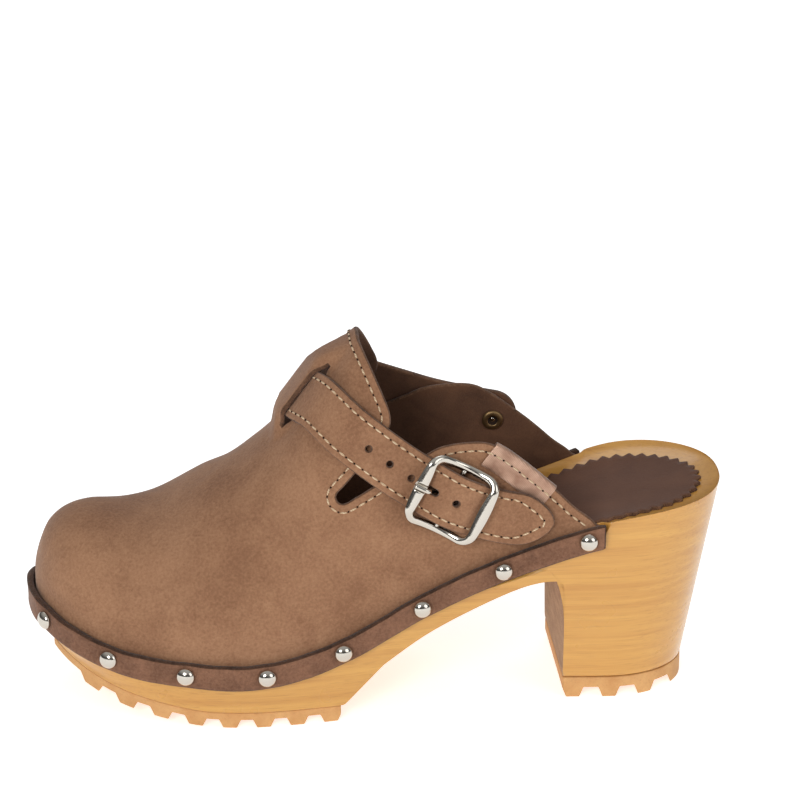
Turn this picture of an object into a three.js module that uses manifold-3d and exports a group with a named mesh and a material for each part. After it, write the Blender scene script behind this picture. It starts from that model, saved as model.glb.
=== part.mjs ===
// Heeled wooden clog for the left foot: a carved wooden base with a platform forefoot and a block heel,
// lugged rubber treads, a one-piece leather upper nailed on under a leather rand, and a buckled strap.
// Millimetres, +Z up, toe towards -X, outer (lateral) side towards -Y.
import * as THREE from "three";
import { mergeVertices } from "three/addons/utils/BufferGeometryUtils.js";
import Module from "manifold-3d";

const wasm = await Module();
wasm.setup();

// ---------------------------------------------------------------- driving dimensions
const TOE_X = -128;            // foremost point of the wood
const HEEL_X = 127.5;          // rearmost point of the wood
const TOE_ROUND = 62;          // length over which the toe outline closes
const HEEL_ROUND = 42;         // length over which the heel outline closes
const TOE_BOX_ROUND = 30;      // length over which the toe box rises from the tip
const TOE_SWING = 9;           // how far the toe's middle lies inboard of the heel's middle
const GAP = 0.3;               // clearance between pieces that touch
const TOE_POWER = 2.2;         // squareness of the rounded toe, 2 being an ellipse
const HEEL_POWER = 2.3;
const FACE_POWER = 2.3;        // squareness of the upper's cross section at its sides
const CROWN_POWER = 1.9;       // and at its crown

const HEEL_BREAST_X = 66.5;    // front face of the heel
const HEEL_BOTTOM_Z = 8.4;     // where the wood of the heel meets its tread
const HEEL_SIDE_TAPER = 0.2;   // share of its width that the heel loses on its way down
const HEEL_BACK_TAPER = 13;    // how far the heel's back leans forward on its way down
const TOE_UNDERCUT = 5;        // how far the toe's wood leans back under the rand
const DISH_DEPTH = 4.5;        // hollow of the footbed
const SOLE_FLAT_Z = 6.5;       // wood of the forefoot above the ground
const SOLE_FLAT_END_X = -16;   // rear end of the forefoot's flat underside
const ARCH_END_Z = 50.4;       // height of the arch where it meets the heel
const ARCH_FILLET = 4;         // radius between the two

const LEATHER = 2.0;           // thickness of the upper
const RAND_WIDTH = 8.8;        // height of the rand
const RAND_THICK = 2.6;
const RAND_END_X = 80;         // rear ends of the rand and of the upper
const STUD_HEAD_R = 3.5;
const STUD_HEAD_H = 2.4;
const STUD_SHANK_R = 0.9;
const STUD_SHANK_LENGTH = 10;
const STUD_COUNT = 16;         // an even number
const STUD_INSET = 6;          // rearmost studs from the rand's ends
const WAIST_STUDS = 3;         // wider gaps at the rear of each side
const WAIST_STUD_GAP = 33.2;
const TIP_STUD_GAP = 1.335;    // gap across the tip of the toe, in gaps of the front of each side

const TREAD_PLATE = 3.0;
const LUG_HEIGHT = SOLE_FLAT_Z - GAP - TREAD_PLATE;
const LUG_PITCH = 12.5;
const LUG_TIP = 5;
const LUG_ROOT = 8;
const HEEL_LUG_PITCH = 13.6;
const HEEL_LUG_COUNT = 4;
const HEEL_PLATE = 4.2;
const TREAD_INSET = 0.8;

const PAD_THICK = 1.3;
const PAD_MARGIN = 7;
const PAD_FRONT_X = 12;
const PINKING_PITCH = 5;
const PINKING_DEPTH = 2.2;

const STRAP_WIDTH = 20;
const STRAP_THICK = 2.4;
const STRAP_TIP_LENGTH = 13;   // length over which the free end narrows
const STRAP_TIP_POWER = 1.6;   // below 2 the end is pointed
const TIP_BLUNT = 0.3;         // how far short of a true point each end stops
const STRAP_LIFT = STRAP_THICK / 2 + 0.45;   // strap's middle above the upper's face
const HOLE_R = 1.5;
const HOLE_PITCH = 9.5;
const BRIDGE_WIDTH = 14;
const CROWN_X = -27;           // where the strap's middle crosses over the instep
const SLIT_FRONT_X = CROWN_X - 0.4 * STRAP_WIDTH;
const SLIT_REAR_X = CROWN_X + 0.51 * STRAP_WIDTH;
const BRIDGE_RAMP = 7;         // length over which the bridge rises before and behind the slits
const SLIT_GAP = 1.2;
const CROWN_HOLLOW = 0.00125 * STRAP_WIDTH ** 2;   // depth of the instep's hollow under a flat strap
const CROWN_LIFT = STRAP_LIFT + CROWN_HOLLOW;
const BRIDGE_LIFT = CROWN_LIFT + STRAP_THICK / 2 + GAP + LEATHER;

const BUCKLE_X = 23.2;         // where the buckle's centre bar stands
const BAR_R = 1.2;
const BAR_REACH = 12.3;        // end bars from the centre bar
const RAIL_REACH = STRAP_WIDTH / 2 + 1 + BAR_R;
const BUCKLE_CORNER = 3.6;
const CHAPE_THICK = 1.2;
const CHAPE_WIDTH = 11;
const CHAPE_SLOT = 4.4;
const BAR_HEIGHT = GAP + CHAPE_THICK + GAP + BAR_R;
const END_BAR_HEIGHT = BAR_HEIGHT + 4.6;
const PRONG_R = 0.9;
const RIVET_R = 0.95;
const RIVET_HEAD_R = 1.9;
const STRAP_RIVET_HEAD_R = 4;

// ---------------------------------------------------------------- small maths
const clamp01 = (t) => Math.min(1, Math.max(0, t));
const smooth = (t) => clamp01(t) ** 2 * (3 - 2 * clamp01(t));

// Smooth curve through hand-set stations [x, value], flat outside them.
function through(stations) {
  const slope = stations.map((_, i) => {
    const before = stations[Math.max(i - 1, 0)];
    const after = stations[Math.min(i + 1, stations.length - 1)];
    return (after[1] - before[1]) / (after[0] - before[0]);
  });
  return (x) => {
    const last = stations.length - 1;
    const at = Math.min(Math.max(x, stations[0][0]), stations[last][0]);
    let i = 0;
    while (i < last - 1 && at > stations[i + 1][0]) i += 1;
    const [x0, v0] = stations[i];
    const [x1, v1] = stations[i + 1];
    const h = x1 - x0;
    const t = (at - x0) / h;
    return v0 * (1 + 2 * t) * (1 - t) ** 2 + h * slope[i] * t * (1 - t) ** 2
      + v1 * t * t * (3 - 2 * t) + h * slope[i + 1] * t * t * (t - 1);
  };
}

// Rounded end: 1 while u <= 0, falling to 0 at u = 1 along a superellipse.
const roundEnd = (u, power) => (1 - clamp01(u) ** power) ** (1 / power);

// ---------------------------------------------------------------- the last: plan, side line and crown
const lateralHalf = through([
  [-128, 44], [-98, 44.5], [-50, 47.5], [20, 34], [60, 33], [93, 35], [128, 35],
]);
const medialHalf = through([
  [-128, 33], [-98, 36.5], [-50, 44], [20, 34.5], [60, 31.5], [93, 35], [128, 35],
]);
const rim = through([
  [-130, 42], [-100, 30.4], [-72, 27.1], [-45, 26.6], [-17.5, 33.8],
  [11.8, 48.3], [40.5, 60.8], [74.7, 72.6], [95, 77], [128, 79.5],
]);
const crownRise = through([
  [-130, 38], [-103, 40], [-83, 44.5], [-63, 56.5], [-48, 65.5],
  [-35, 75.5], [-22, 89.5], [-10, 100.5], [10, 101], [80, 92],
]);
const spine = (x) => TOE_SWING * smooth((40 - x) / 150);

// Outline of the base at x, grown outwards by o: [lateral y, medial y].
function plan(x, o = 0) {
  const toe = roundEnd((TOE_X + TOE_ROUND - x) / (TOE_ROUND + o), TOE_POWER);
  const heel = roundEnd((x - HEEL_X + HEEL_ROUND) / (HEEL_ROUND + o), HEEL_POWER);
  const half = toe * heel;
  return [spine(x) - (lateralHalf(x) + o) * half, spine(x) + (medialHalf(x) + o) * half];
}

const crownSlope = (x) => (rim(x + 1) + crownRise(x + 1) - rim(x - 1) - crownRise(x - 1)) / 2;

// Point of the upper's face at station x and angle a round it (0 lateral edge, PI medial edge),
// grown outwards by o.
function facePoint(x, a, o = 0) {
  const [lateral, medial] = plan(x, o);
  const toe = roundEnd((TOE_X + TOE_BOX_ROUND - x) / (TOE_BOX_ROUND + o), TOE_POWER);
  const rise = (crownRise(x) + o * Math.hypot(1, crownSlope(x))) * toe;
  const c = Math.cos(a);
  const half = c > 0 ? spine(x) - lateral : medial - spine(x);
  const y = spine(x) - Math.sign(c) * half * Math.abs(c) ** (2 / FACE_POWER);
  return new THREE.Vector3(x, y, rim(x) + rise * Math.abs(Math.sin(a)) ** (2 / CROWN_POWER));
}

function faceNormal(x, a) {
  const alongX = facePoint(x + 0.5, a).sub(facePoint(x - 0.5, a));
  const around = facePoint(x, a + 0.01).sub(facePoint(x, a - 0.01));
  return around.cross(alongX).normalize().negate();
}

// Angle at which the face reaches height z at station x, on the lateral (-1) or medial (1) side.
function angleAt(x, z, side) {
  const a = Math.asin(clamp01((z - rim(x)) / crownRise(x)) ** (CROWN_POWER / 2));
  return side < 0 ? a : Math.PI - a;
}

// ---------------------------------------------------------------- solids
function solid(geometry) {
  const bare = new THREE.BufferGeometry();
  bare.setAttribute("position", geometry.getAttribute("position"));
  if (geometry.index) bare.setIndex(geometry.index);
  const merged = mergeVertices(bare, 1e-4);
  return new wasm.Manifold(new wasm.Mesh({
    numProp: 3,
    vertProperties: Float32Array.from(merged.getAttribute("position").array),
    triVerts: Uint32Array.from(merged.index.array),
  }));
}

// Solid skinned over rings of equally many points; the last ring joins the first when it is closed.
function skin(rings, closed = false) {
  const count = rings[0].length;
  const position = rings.flat().flatMap((p) => [p.x, p.y, p.z]);
  const index = [];
  const spans = closed ? rings.length : rings.length - 1;
  for (let i = 0; i < spans; i += 1) {
    const next = (i + 1) % rings.length;
    for (let j = 0; j < count; j += 1) {
      const k = (j + 1) % count;
      index.push(i * count + j, i * count + k, next * count + k);
      index.push(i * count + j, next * count + k, next * count + j);
    }
  }
  if (!closed) {
    [[0, -1], [rings.length - 1, 1]].forEach(([ring, turn]) => {
      const sum = rings[ring].reduce((total, p) => total.add(p), new THREE.Vector3());
      const middle = sum.divideScalar(count);
      const centre = position.length / 3;
      position.push(middle.x, middle.y, middle.z);
      for (let j = 0; j < count; j += 1) {
        const pair = [ring * count + j, ring * count + ((j + 1) % count)];
        index.push(centre, turn > 0 ? pair[0] : pair[1], turn > 0 ? pair[1] : pair[0]);
      }
    });
  }
  const geometry = new THREE.BufferGeometry();
  geometry.setAttribute("position", new THREE.Float32BufferAttribute(position, 3));
  geometry.setIndex(index);
  const made = solid(geometry);
  return made.volume() < 0 ? solid(flipped(geometry)) : made;
}

function flipped(geometry) {
  const turned = geometry.clone();
  const index = Array.from(geometry.index.array);
  for (let i = 0; i < index.length; i += 3) [index[i], index[i + 1]] = [index[i + 1], index[i]];
  turned.setIndex(index);
  return turned;
}

// Outline given as [x, z] pairs, extruded from y0 to y1.
function sidePrism(outline, y0 = -90, y1 = 90) {
  const shape = new THREE.Shape(outline.map(([x, z]) => new THREE.Vector2(x, z)));
  const geometry = new THREE.ExtrudeGeometry(shape, { depth: y1 - y0, bevelEnabled: false });
  geometry.rotateX(Math.PI / 2);
  geometry.translate(0, y1, 0);
  return solid(geometry);
}

// Outline given as [x, y] pairs, extruded from z0 to z1.
function planPrism(outline, z0 = -20, z1 = 190) {
  const shape = new THREE.Shape(outline.map(([x, y]) => new THREE.Vector2(x, y)));
  const geometry = new THREE.ExtrudeGeometry(shape, { depth: z1 - z0, bevelEnabled: false });
  geometry.translate(0, 0, z0);
  return solid(geometry);
}

function range(from, to, steps) {
  return Array.from({ length: steps + 1 }, (_, i) => from + ((to - from) * i) / steps);
}

// Stations from end to end, closer together where the outline rounds off.
function easedRange(from, to, steps) {
  return range(0, Math.PI, steps).map((a) => from + ((to - from) * (1 - Math.cos(a))) / 2);
}

// Closed outline of the base grown by o, as [x, y] pairs.
function planOutline(o = 0, steps = 30) {
  const stations = easedRange(TOE_X - o, HEEL_X + o, steps);
  const lateral = stations.map((x) => [x, plan(x, o)[0]]);
  const medial = stations.slice(1, -1).map((x) => [x, plan(x, o)[1]]);
  return [...lateral, ...medial.reverse()];
}

// Body bounded by the upper's face grown by o, from the toe to xEnd, open downwards to the ground.
function lastBody(o, xEnd = RAND_END_X + 8, steps = 30, xStart = null) {
  const tip = TOE_X - o;
  const stations = xStart === null
    ? range(0, Math.PI / 2, steps).slice(1).map((a) => tip + (xEnd - tip) * (1 - Math.cos(a)))
    : range(xStart, xEnd, steps);
  const rings = stations.map((x) => {
    const over = range(0, Math.PI, 22).map((a) => facePoint(x, a, o));
    const floor = rim(x) - RAND_WIDTH - 6 + o;
    const low = (p) => new THREE.Vector3(x, p.y, floor);
    return [low(over[0]), ...over, low(over[over.length - 1])];
  });
  return skin(rings);
}

// ---------------------------------------------------------------- materials and nodes
const clog = new THREE.Group();

const matt = (colour, roughness) => () => new THREE.MeshStandardMaterial({
  color: colour, roughness, metalness: 0,
});
const woodFinish = matt(0xe0b070, 0.35);
const rubberFinish = matt(0xb87f4a, 0.7);
const nubuckFinish = matt(0x93705a, 0.9);
const randFinish = matt(0x6b4c3c, 0.85);
const padFinish = matt(0x624438, 0.85);
const ribbonFinish = matt(0xc09a86, 0.45);
const metalFinish = (colour) => () => new THREE.MeshStandardMaterial({
  color: colour, roughness: 0.2, metalness: 1,
});
const nickelFinish = metalFinish(0xcfcac2);
const brassFinish = metalFinish(0xb08a58);

function addNode(name, body, finish) {
  const mesh = body.getMesh();
  const geometry = new THREE.BufferGeometry();
  geometry.setAttribute("position", new THREE.BufferAttribute(Float32Array.from(mesh.vertProperties), 3));
  geometry.setIndex(new THREE.BufferAttribute(Uint32Array.from(mesh.triVerts), 1));
  geometry.computeVertexNormals();
  const node = new THREE.Mesh(geometry, finish());
  node.name = name;
  clog.add(node);
}

// ---------------------------------------------------------------- rand line and its studs
const randTop = (x) => rim(x);
const randBottom = (x) => rim(x) - RAND_WIDTH;
const randMiddle = (x) => rim(x) - RAND_WIDTH / 2;

// Stations along the rand, from its lateral end round the toe to its medial end: {x, side}.
function randRoute(steps) {
  const half = range(0, Math.PI / 2, steps).map((a) => TOE_X + (RAND_END_X - TOE_X) * (1 - Math.cos(a)));
  const lateral = half.slice(1).reverse().map((x) => ({ x, side: 0 }));
  return [...lateral, ...half.map((x) => ({ x, side: 1 }))];
}

// Outward direction of the outline at a station, in plan.
function outward(x, side, o) {
  const reach = 0.02;
  if (x - reach <= TOE_X - o) return new THREE.Vector3(-1, 0, 0);
  const drift = plan(x + reach, o)[side] - plan(x - reach, o)[side];
  const along = new THREE.Vector2(2 * reach, drift).normalize();
  return side === 0 ? new THREE.Vector3(along.y, -along.x, 0) : new THREE.Vector3(-along.y, along.x, 0);
}

function studPlaces() {
  const route = randRoute(300).map(({ x, side }) => {
    const point = new THREE.Vector3(x, plan(x)[side], randMiddle(x));
    return { point, out: outward(x, side, 0) };
  });
  const travelled = [0];
  for (let i = 1; i < route.length; i += 1) {
    travelled.push(travelled[i - 1] + route[i].point.distanceTo(route[i - 1].point));
  }
  const rear = STUD_INSET + WAIST_STUDS * WAIST_STUD_GAP;
  const length = travelled[travelled.length - 1];
  const last = STUD_COUNT - 1;
  const front = (length - 2 * rear) / (last - 1 - 2 * WAIST_STUDS + TIP_STUD_GAP);
  return Array.from({ length: STUD_COUNT }, (_, k) => {
    const fromEnd = Math.min(k, last - k);
    const reach = fromEnd <= WAIST_STUDS
      ? STUD_INSET + fromEnd * WAIST_STUD_GAP
      : rear + (fromEnd - WAIST_STUDS) * front;
    const wanted = k <= last / 2 ? reach : length - reach;
    return route[travelled.findIndex((d) => d >= wanted - 1e-6)];
  });
}

const studs = studPlaces();

// Body turned from the local Z axis onto direction, with its origin at point.
function aimed(geometry, point, direction) {
  const turn = new THREE.Quaternion().setFromUnitVectors(new THREE.Vector3(0, 0, 1), direction);
  geometry.applyQuaternion(turn);
  geometry.translate(point.x, point.y, point.z);
  return solid(geometry);
}

// Turned body from its half profile [radius, height] pairs, about local Z.
function turned(profile, sides) {
  const geometry = new THREE.LatheGeometry(profile.map(([r, h]) => new THREE.Vector2(r, h)), sides);
  geometry.rotateX(Math.PI / 2);
  return geometry;
}

function rod(radius, from, to, sides = 10) {
  return turned([[0, from], [radius, from], [radius, to], [0, to]], sides);
}

function domedHead(radius, height, from, shankRadius, shankTo, sides) {
  const dome = range(0, Math.PI / 2, 3).map((a) => [radius * Math.cos(a), from + height * Math.sin(a)]);
  dome[dome.length - 1][0] = 0;
  return turned([[0, shankTo], [shankRadius, shankTo], [shankRadius, from], ...dome], sides);
}

const studBore = studs
  .map(({ point, out }) => aimed(rod(STUD_SHANK_R + GAP, -STUD_SHANK_LENGTH - 1, 6, 8), point, out))
  .reduce((all, bore) => all.add(bore));

// ---------------------------------------------------------------- wooden base
const toeSpring = through([
  [-128, 25], [-100, 12.5], [-75, 7.8], [-50, SOLE_FLAT_Z], [SOLE_FLAT_END_X, SOLE_FLAT_Z],
]);
const soleUnder = (x) => Math.max(SOLE_FLAT_Z, toeSpring(x));

function baseSideOutline() {
  const top = range(TOE_X - 3, HEEL_X + 3, 38).map((x) => [x, rim(x)]);
  const under = range(TOE_X - 3, SOLE_FLAT_END_X, 16).map((x) => [x, soleUnder(x)]);
  const arch = [[-1, 21.5], [15, 32], [35, 42], [50, 48.3], [58, 50.2]];
  const fillet = range(Math.PI / 2, 0, 5).map((a) => [
    HEEL_BREAST_X + ARCH_FILLET * (Math.cos(a) - 1), ARCH_END_Z + ARCH_FILLET * (Math.sin(a) - 1),
  ]);
  const heel = [[HEEL_BREAST_X, HEEL_BOTTOM_Z], [HEEL_X + 3, HEEL_BOTTOM_Z]];
  return [...under, ...arch, ...fillet, ...heel, ...top.reverse()];
}

// Outline ring, at height z, of the tapered block that the base is cut from, grown by o.
function blockRing(z, o) {
  return planOutline(o).map(([x, y]) => {
    const top = rim(x) - RAND_WIDTH * (1 - smooth((x - RAND_END_X) / 15));
    const down = 1 - clamp01((z - HEEL_BOTTOM_Z) / (top - HEEL_BOTTOM_Z));
    const narrowed = y * (1 - HEEL_SIDE_TAPER * down * smooth((x - 20) / 45));
    const lean = HEEL_BACK_TAPER * down * clamp01((x - HEEL_BREAST_X) / (HEEL_X - HEEL_BREAST_X));
    const below = clamp01((top - z) / (top - soleUnder(x)));
    const undercut = TOE_UNDERCUT * below * clamp01((TOE_X + TOE_ROUND - x) / TOE_ROUND);
    const middle = spine(x);
    const sides = 1 - undercut / TOE_ROUND;
    return new THREE.Vector3(x - lean + undercut, middle + (narrowed - middle) * sides, z);
  });
}

const BLOCK_LEVELS = [-4, 8, 22, 36, 48, 58, 66, 72, 78, 90];
const block = (o) => skin(BLOCK_LEVELS.map((z) => blockRing(z, o)));

const footbedMiddle = (x) => (plan(x)[0] + plan(x)[1]) / 2;
const footbedHalf = (x) => (plan(x)[1] - plan(x)[0]) / 2;

function footbed(x, y) {
  const across = clamp01(Math.abs(y - footbedMiddle(x)) / footbedHalf(x));
  const along = clamp01(Math.abs(x) / HEEL_X);
  return rim(x) - DISH_DEPTH * (1 - across ** 4) * (1 - along ** 10);
}

// Solid between two heights over the footbed, for stations x and shares f across it.
function footbedSlab(x0, x1, steps, share, low, high) {
  const rings = range(x0, x1, steps).map((x) => {
    const points = range(-share, share, 8).map((f) => [x, footbedMiddle(x) + f * footbedHalf(x)]);
    const under = points.map(([px, py]) => new THREE.Vector3(px, py, footbed(px, py) + low));
    const over = points.map(([px, py]) => new THREE.Vector3(px, py, footbed(px, py) + high)).reverse();
    return [...under, ...over];
  });
  return skin(rings);
}

function woodenBase() {
  const blank = block(0).intersect(sidePrism(baseSideOutline()));
  const rebateLine = range(TOE_X - 6, RAND_END_X + 2, 40).map((x) => [x, randBottom(x) - GAP]);
  const rebateBand = sidePrism([...rebateLine, [RAND_END_X + 2, 120], [TOE_X - 6, 120]]);
  const rebate = rebateBand.subtract(planPrism(planOutline(-LEATHER - GAP)));
  const dish = footbedSlab(TOE_X + 7, HEEL_X - 3.5, 28, 0.95, 0, 40);
  return blank.subtract(rebate).subtract(dish).subtract(studBore);
}

addNode("wooden_base", woodenBase(), woodFinish);

// ---------------------------------------------------------------- insole pad
// Pinked outline: a smooth line inside the rim with a tooth every PINKING_PITCH.
function padOutline() {
  const padEdge = (x, side) => {
    const front = roundEnd((PAD_FRONT_X + 30 - x) / 30, 2.1);
    const back = roundEnd((x - HEEL_X + PAD_MARGIN + 36) / 36, 2.2);
    const middle = footbedMiddle(x);
    const half = footbedHalf(Math.min(x, HEEL_X - HEEL_ROUND)) - PAD_MARGIN;
    return middle + (side === 0 ? -1 : 1) * half * front * back;
  };
  const stations = easedRange(PAD_FRONT_X, HEEL_X - PAD_MARGIN, 120);
  const loop = [
    ...stations.map((x) => new THREE.Vector3(x, padEdge(x, 0), 0)),
    ...stations.slice(1, -1).reverse().map((x) => new THREE.Vector3(x, padEdge(x, 1), 0)),
  ];
  const line = new THREE.CatmullRomCurve3(loop, true);
  line.arcLengthDivisions = 1000;
  const teeth = Math.round(line.getLength() / PINKING_PITCH);
  return range(0, 2 * teeth - 1, 2 * teeth - 1).map((k) => {
    const u = k / (2 * teeth);
    const point = line.getPointAt(u);
    const along = line.getTangentAt(u);
    const inwards = k % 2 === 0 ? 0 : PINKING_DEPTH;
    return [point.x - along.y * inwards, point.y + along.x * inwards];
  });
}

const padSlab = footbedSlab(PAD_FRONT_X - 4, HEEL_X - 5, 14, 0.93, GAP, GAP + PAD_THICK);
addNode("insole_pad", padSlab.intersect(planPrism(padOutline())), padFinish);

// ---------------------------------------------------------------- treads
// Side outline of one lug: a trapezium hanging from z on the plate, leaning with the slope.
function lug(x, z, slope, height) {
  const along = new THREE.Vector2(1, slope).normalize();
  const down = new THREE.Vector2(along.y, -along.x);
  const corner = (u, v) => [x + along.x * u + down.x * v, z + along.y * u + down.y * v];
  return [
    corner(-LUG_ROOT / 2, -0.5), corner(-LUG_TIP / 2, height),
    corner(LUG_TIP / 2, height), corner(LUG_ROOT / 2, -0.5),
  ];
}

function forefootTread() {
  const top = range(TOE_X - 3, SOLE_FLAT_END_X - 1, 26).map((x) => [x, soleUnder(x) - GAP]);
  const under = top.map(([x, z]) => [x, z - TREAD_PLATE]).reverse();
  let body = sidePrism([...top, ...under]);
  for (let x = SOLE_FLAT_END_X - 1 - LUG_ROOT / 2; x > TOE_X + 2; x -= LUG_PITCH) {
    const slope = (soleUnder(x + 1) - soleUnder(x - 1)) / 2;
    body = body.add(sidePrism(lug(x, soleUnder(x) - GAP - TREAD_PLATE, slope, LUG_HEIGHT)));
  }
  return body.intersect(block(-TREAD_INSET));
}

function heelTread() {
  const top = HEEL_BOTTOM_Z - GAP;
  const plate = top - HEEL_PLATE;
  let body = sidePrism([[HEEL_BREAST_X, top], [HEEL_X, top], [HEEL_X, plate], [HEEL_BREAST_X, plate]]);
  for (let k = 0; k < HEEL_LUG_COUNT; k += 1) {
    body = body.add(sidePrism(lug(HEEL_BREAST_X + LUG_ROOT / 2 + k * HEEL_LUG_PITCH, plate, 0, plate)));
  }
  const outline = blockRing(HEEL_BOTTOM_Z, 0).map((p) => [p.x, p.y]);
  return body.intersect(planPrism(outline));
}

addNode("forefoot_tread", forefootTread(), rubberFinish);
addNode("heel_tread", heelTread(), rubberFinish);

// ---------------------------------------------------------------- upper
// Side outline that the upper keeps: lapped under the rand below, throat, vents and wings above.
const WING_LINE = [
  [14, 101], [20, 104], [30, 105.5], [38, 105], [44.5, 101.6],
  [54, 94], [62, 87], [69, 80], [75, 75], [RAND_END_X, 71.5],
];
const THROAT_X = -8;           // where the top of the upper's edge stands
const THROAT_LINE = [
  [THROAT_X, 170], [THROAT_X, 140], [-6, 135], [-3.5, 129.5],
  [-1, 124], [1.6, 117], [1.6, 113], [-0.5, 109.5],
];
const VENT_LINE = [
  [-11, 97], [-15, 92.6], [-18.6, 88.6], [-18.2, 86], [-15.4, 84.8], [-11, 87], [-3, 91.5], [6, 97],
];

function upperSideOutline() {
  const low = range(TOE_X - 6, RAND_END_X, 40).map((x) => [x, randBottom(x)]);
  const top = [...THROAT_LINE, ...VENT_LINE, ...WING_LINE].reverse();
  return [...low, ...top, [TOE_X - 6, 170]];
}

// Bridge of leather between the two slits, lifted over the strap.
function bridge() {
  const front = SLIT_FRONT_X - BRIDGE_RAMP;
  const rear = SLIT_REAR_X + BRIDGE_RAMP;
  const lift = (x) => BRIDGE_LIFT * smooth(Math.min(x - front, rear - x) / BRIDGE_RAMP);
  const edge = (x) => {
    const share = BRIDGE_WIDTH / 2 / (spine(x) - facePoint(x, 0).y);
    return Math.acos(clamp01(share ** (FACE_POWER / 2)));
  };
  const rings = range(front - 3, Math.min(rear + 3, THROAT_X - 1), 26).map((x) => {
    const angles = range(edge(x), Math.PI - edge(x), 8);
    const over = angles.map((a) => facePoint(x, a, lift(x)));
    const under = angles.map((a) => facePoint(x, a, lift(x) - LEATHER + 0.02)).reverse();
    return [...over, ...under];
  });
  return skin(rings);
}

function slitWindow() {
  const half = BRIDGE_WIDTH / 2 + SLIT_GAP;
  const corners = [[SLIT_FRONT_X, -1], [SLIT_REAR_X, -1], [SLIT_REAR_X, 1], [SLIT_FRONT_X, 1]];
  return planPrism(corners.map(([x, side]) => [x, spine(x) + side * half]), 95, 170);
}

function upper() {
  const shell = lastBody(0).subtract(lastBody(-LEATHER));
  const kept = shell.intersect(sidePrism(upperSideOutline()));
  return kept.subtract(slitWindow()).add(bridge()).subtract(studBore);
}

// ---------------------------------------------------------------- rand
function rand() {
  const rings = randRoute(26).map(({ x, side }) => {
    const out = outward(x, side, 0);
    const edge = new THREE.Vector3(x, plan(x)[side], 0);
    const inner = edge.clone().addScaledVector(out, GAP);
    const outer = edge.clone().addScaledVector(out, GAP + RAND_THICK);
    const at = (p, z) => new THREE.Vector3(p.x, p.y, z);
    const [low, high] = [randBottom(x), randTop(x)];
    return [at(inner, low), at(outer, low), at(outer, high), at(inner, high)];
  });
  return skin(rings).subtract(studBore);
}

addNode("rand", rand(), randFinish);
studs.forEach(({ point, out }, i) => {
  const seat = 2 * GAP + RAND_THICK;
  const nail = domedHead(STUD_HEAD_R, STUD_HEAD_H, seat, STUD_SHANK_R, -STUD_SHANK_LENGTH, 10);
  addNode(`rand_stud_${i + 1}`, aimed(nail, point, out), nickelFinish);
});

// ---------------------------------------------------------------- strap
// Middle line of the strap from its free tip over the instep to its riveted end:
// [x, z on the face, side, height of the strap's middle above the face].
const HUMP = BAR_HEIGHT + BAR_R + GAP + CHAPE_THICK + GAP + STRAP_THICK / 2;
const STRAP_LINE = [
  [61.5, 76, -1, STRAP_LIFT + 0.8], [51, 77.3, -1, STRAP_LIFT + 0.9], [42, 78.8, -1, STRAP_LIFT + 0.9],
  [36, 80.6, -1, STRAP_LIFT + 1.2], [32.3, 82.3, -1, STRAP_LIFT + 2.9], [28.1, 84.4, -1, HUMP - 0.7],
  [BUCKLE_X, 86.7, -1, HUMP],
  [17, 89.9, -1, HUMP - 1.9], [11.4, 92.9, -1, STRAP_LIFT + 0.4], [5, 97.2, -1, STRAP_LIFT],
  [-4, 103.8, -1, STRAP_LIFT], [-13, 110.7, -1, STRAP_LIFT + 0.6],
  [-21, 116.4, -1, STRAP_LIFT + 0.9],
  [CROWN_X, null, 0, CROWN_LIFT],
  [-21, 116.4, 1, STRAP_LIFT + 0.9], [-14, 110.5, 1, STRAP_LIFT + 0.6], [-3, 105.8, 1, STRAP_LIFT],
  [9, 101.2, 1, STRAP_LIFT], [22, 96.6, 1, STRAP_LIFT], [37, 92.8, 1, STRAP_LIFT],
  [55, 88.8, 1, STRAP_LIFT],
];
const strapStops = STRAP_LINE.map(([x, z, side, lift]) => {
  const angle = side === 0 ? Math.PI / 2 : angleAt(x, z, side);
  const normal = faceNormal(x, angle);
  return { face: facePoint(x, angle), normal, middle: facePoint(x, angle).addScaledVector(normal, lift) };
});
const strapMiddle = new THREE.CatmullRomCurve3(strapStops.map((stop) => stop.middle));
const strapNormal = new THREE.CatmullRomCurve3(strapStops.map((stop) => stop.normal));

// Frame of the strap at curve parameter t: along, across and out of the strap.
function strapFrame(t) {
  const along = strapMiddle.getTangent(t);
  const across = strapNormal.getPoint(t).cross(along).normalize();
  const out = along.clone().cross(across).normalize();
  return { point: strapMiddle.getPoint(t), along, across, out };
}

const BUCKLE_STOP = STRAP_LINE.findIndex(([x]) => x === BUCKLE_X);
const BUCKLE_T = BUCKLE_STOP / (STRAP_LINE.length - 1);
const LAST_STOP_T = 1 - 1 / (STRAP_LINE.length - 1);
const RIVET_T = (1 + LAST_STOP_T) / 2;

// Curve parameter at a distance along the strap from the buckle's centre bar, towards the instep.
function strapAt(distance) {
  const step = 0.0005;
  let t = BUCKLE_T;
  let left = Math.abs(distance);
  const way = Math.sign(distance);
  while (left > 0) {
    left -= strapMiddle.getPoint(t).distanceTo(strapMiddle.getPoint(t + way * step));
    t += way * step;
  }
  return t;
}

const PRONG_HOLE_AT = 7.8;
const holeStations = [-1, 0, 1, 2, 3].map((k) => PRONG_HOLE_AT + k * HOLE_PITCH);
const PRONG_HOLE_STRETCH = 1.2;   // the prong's hole is drawn out this far each way

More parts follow.
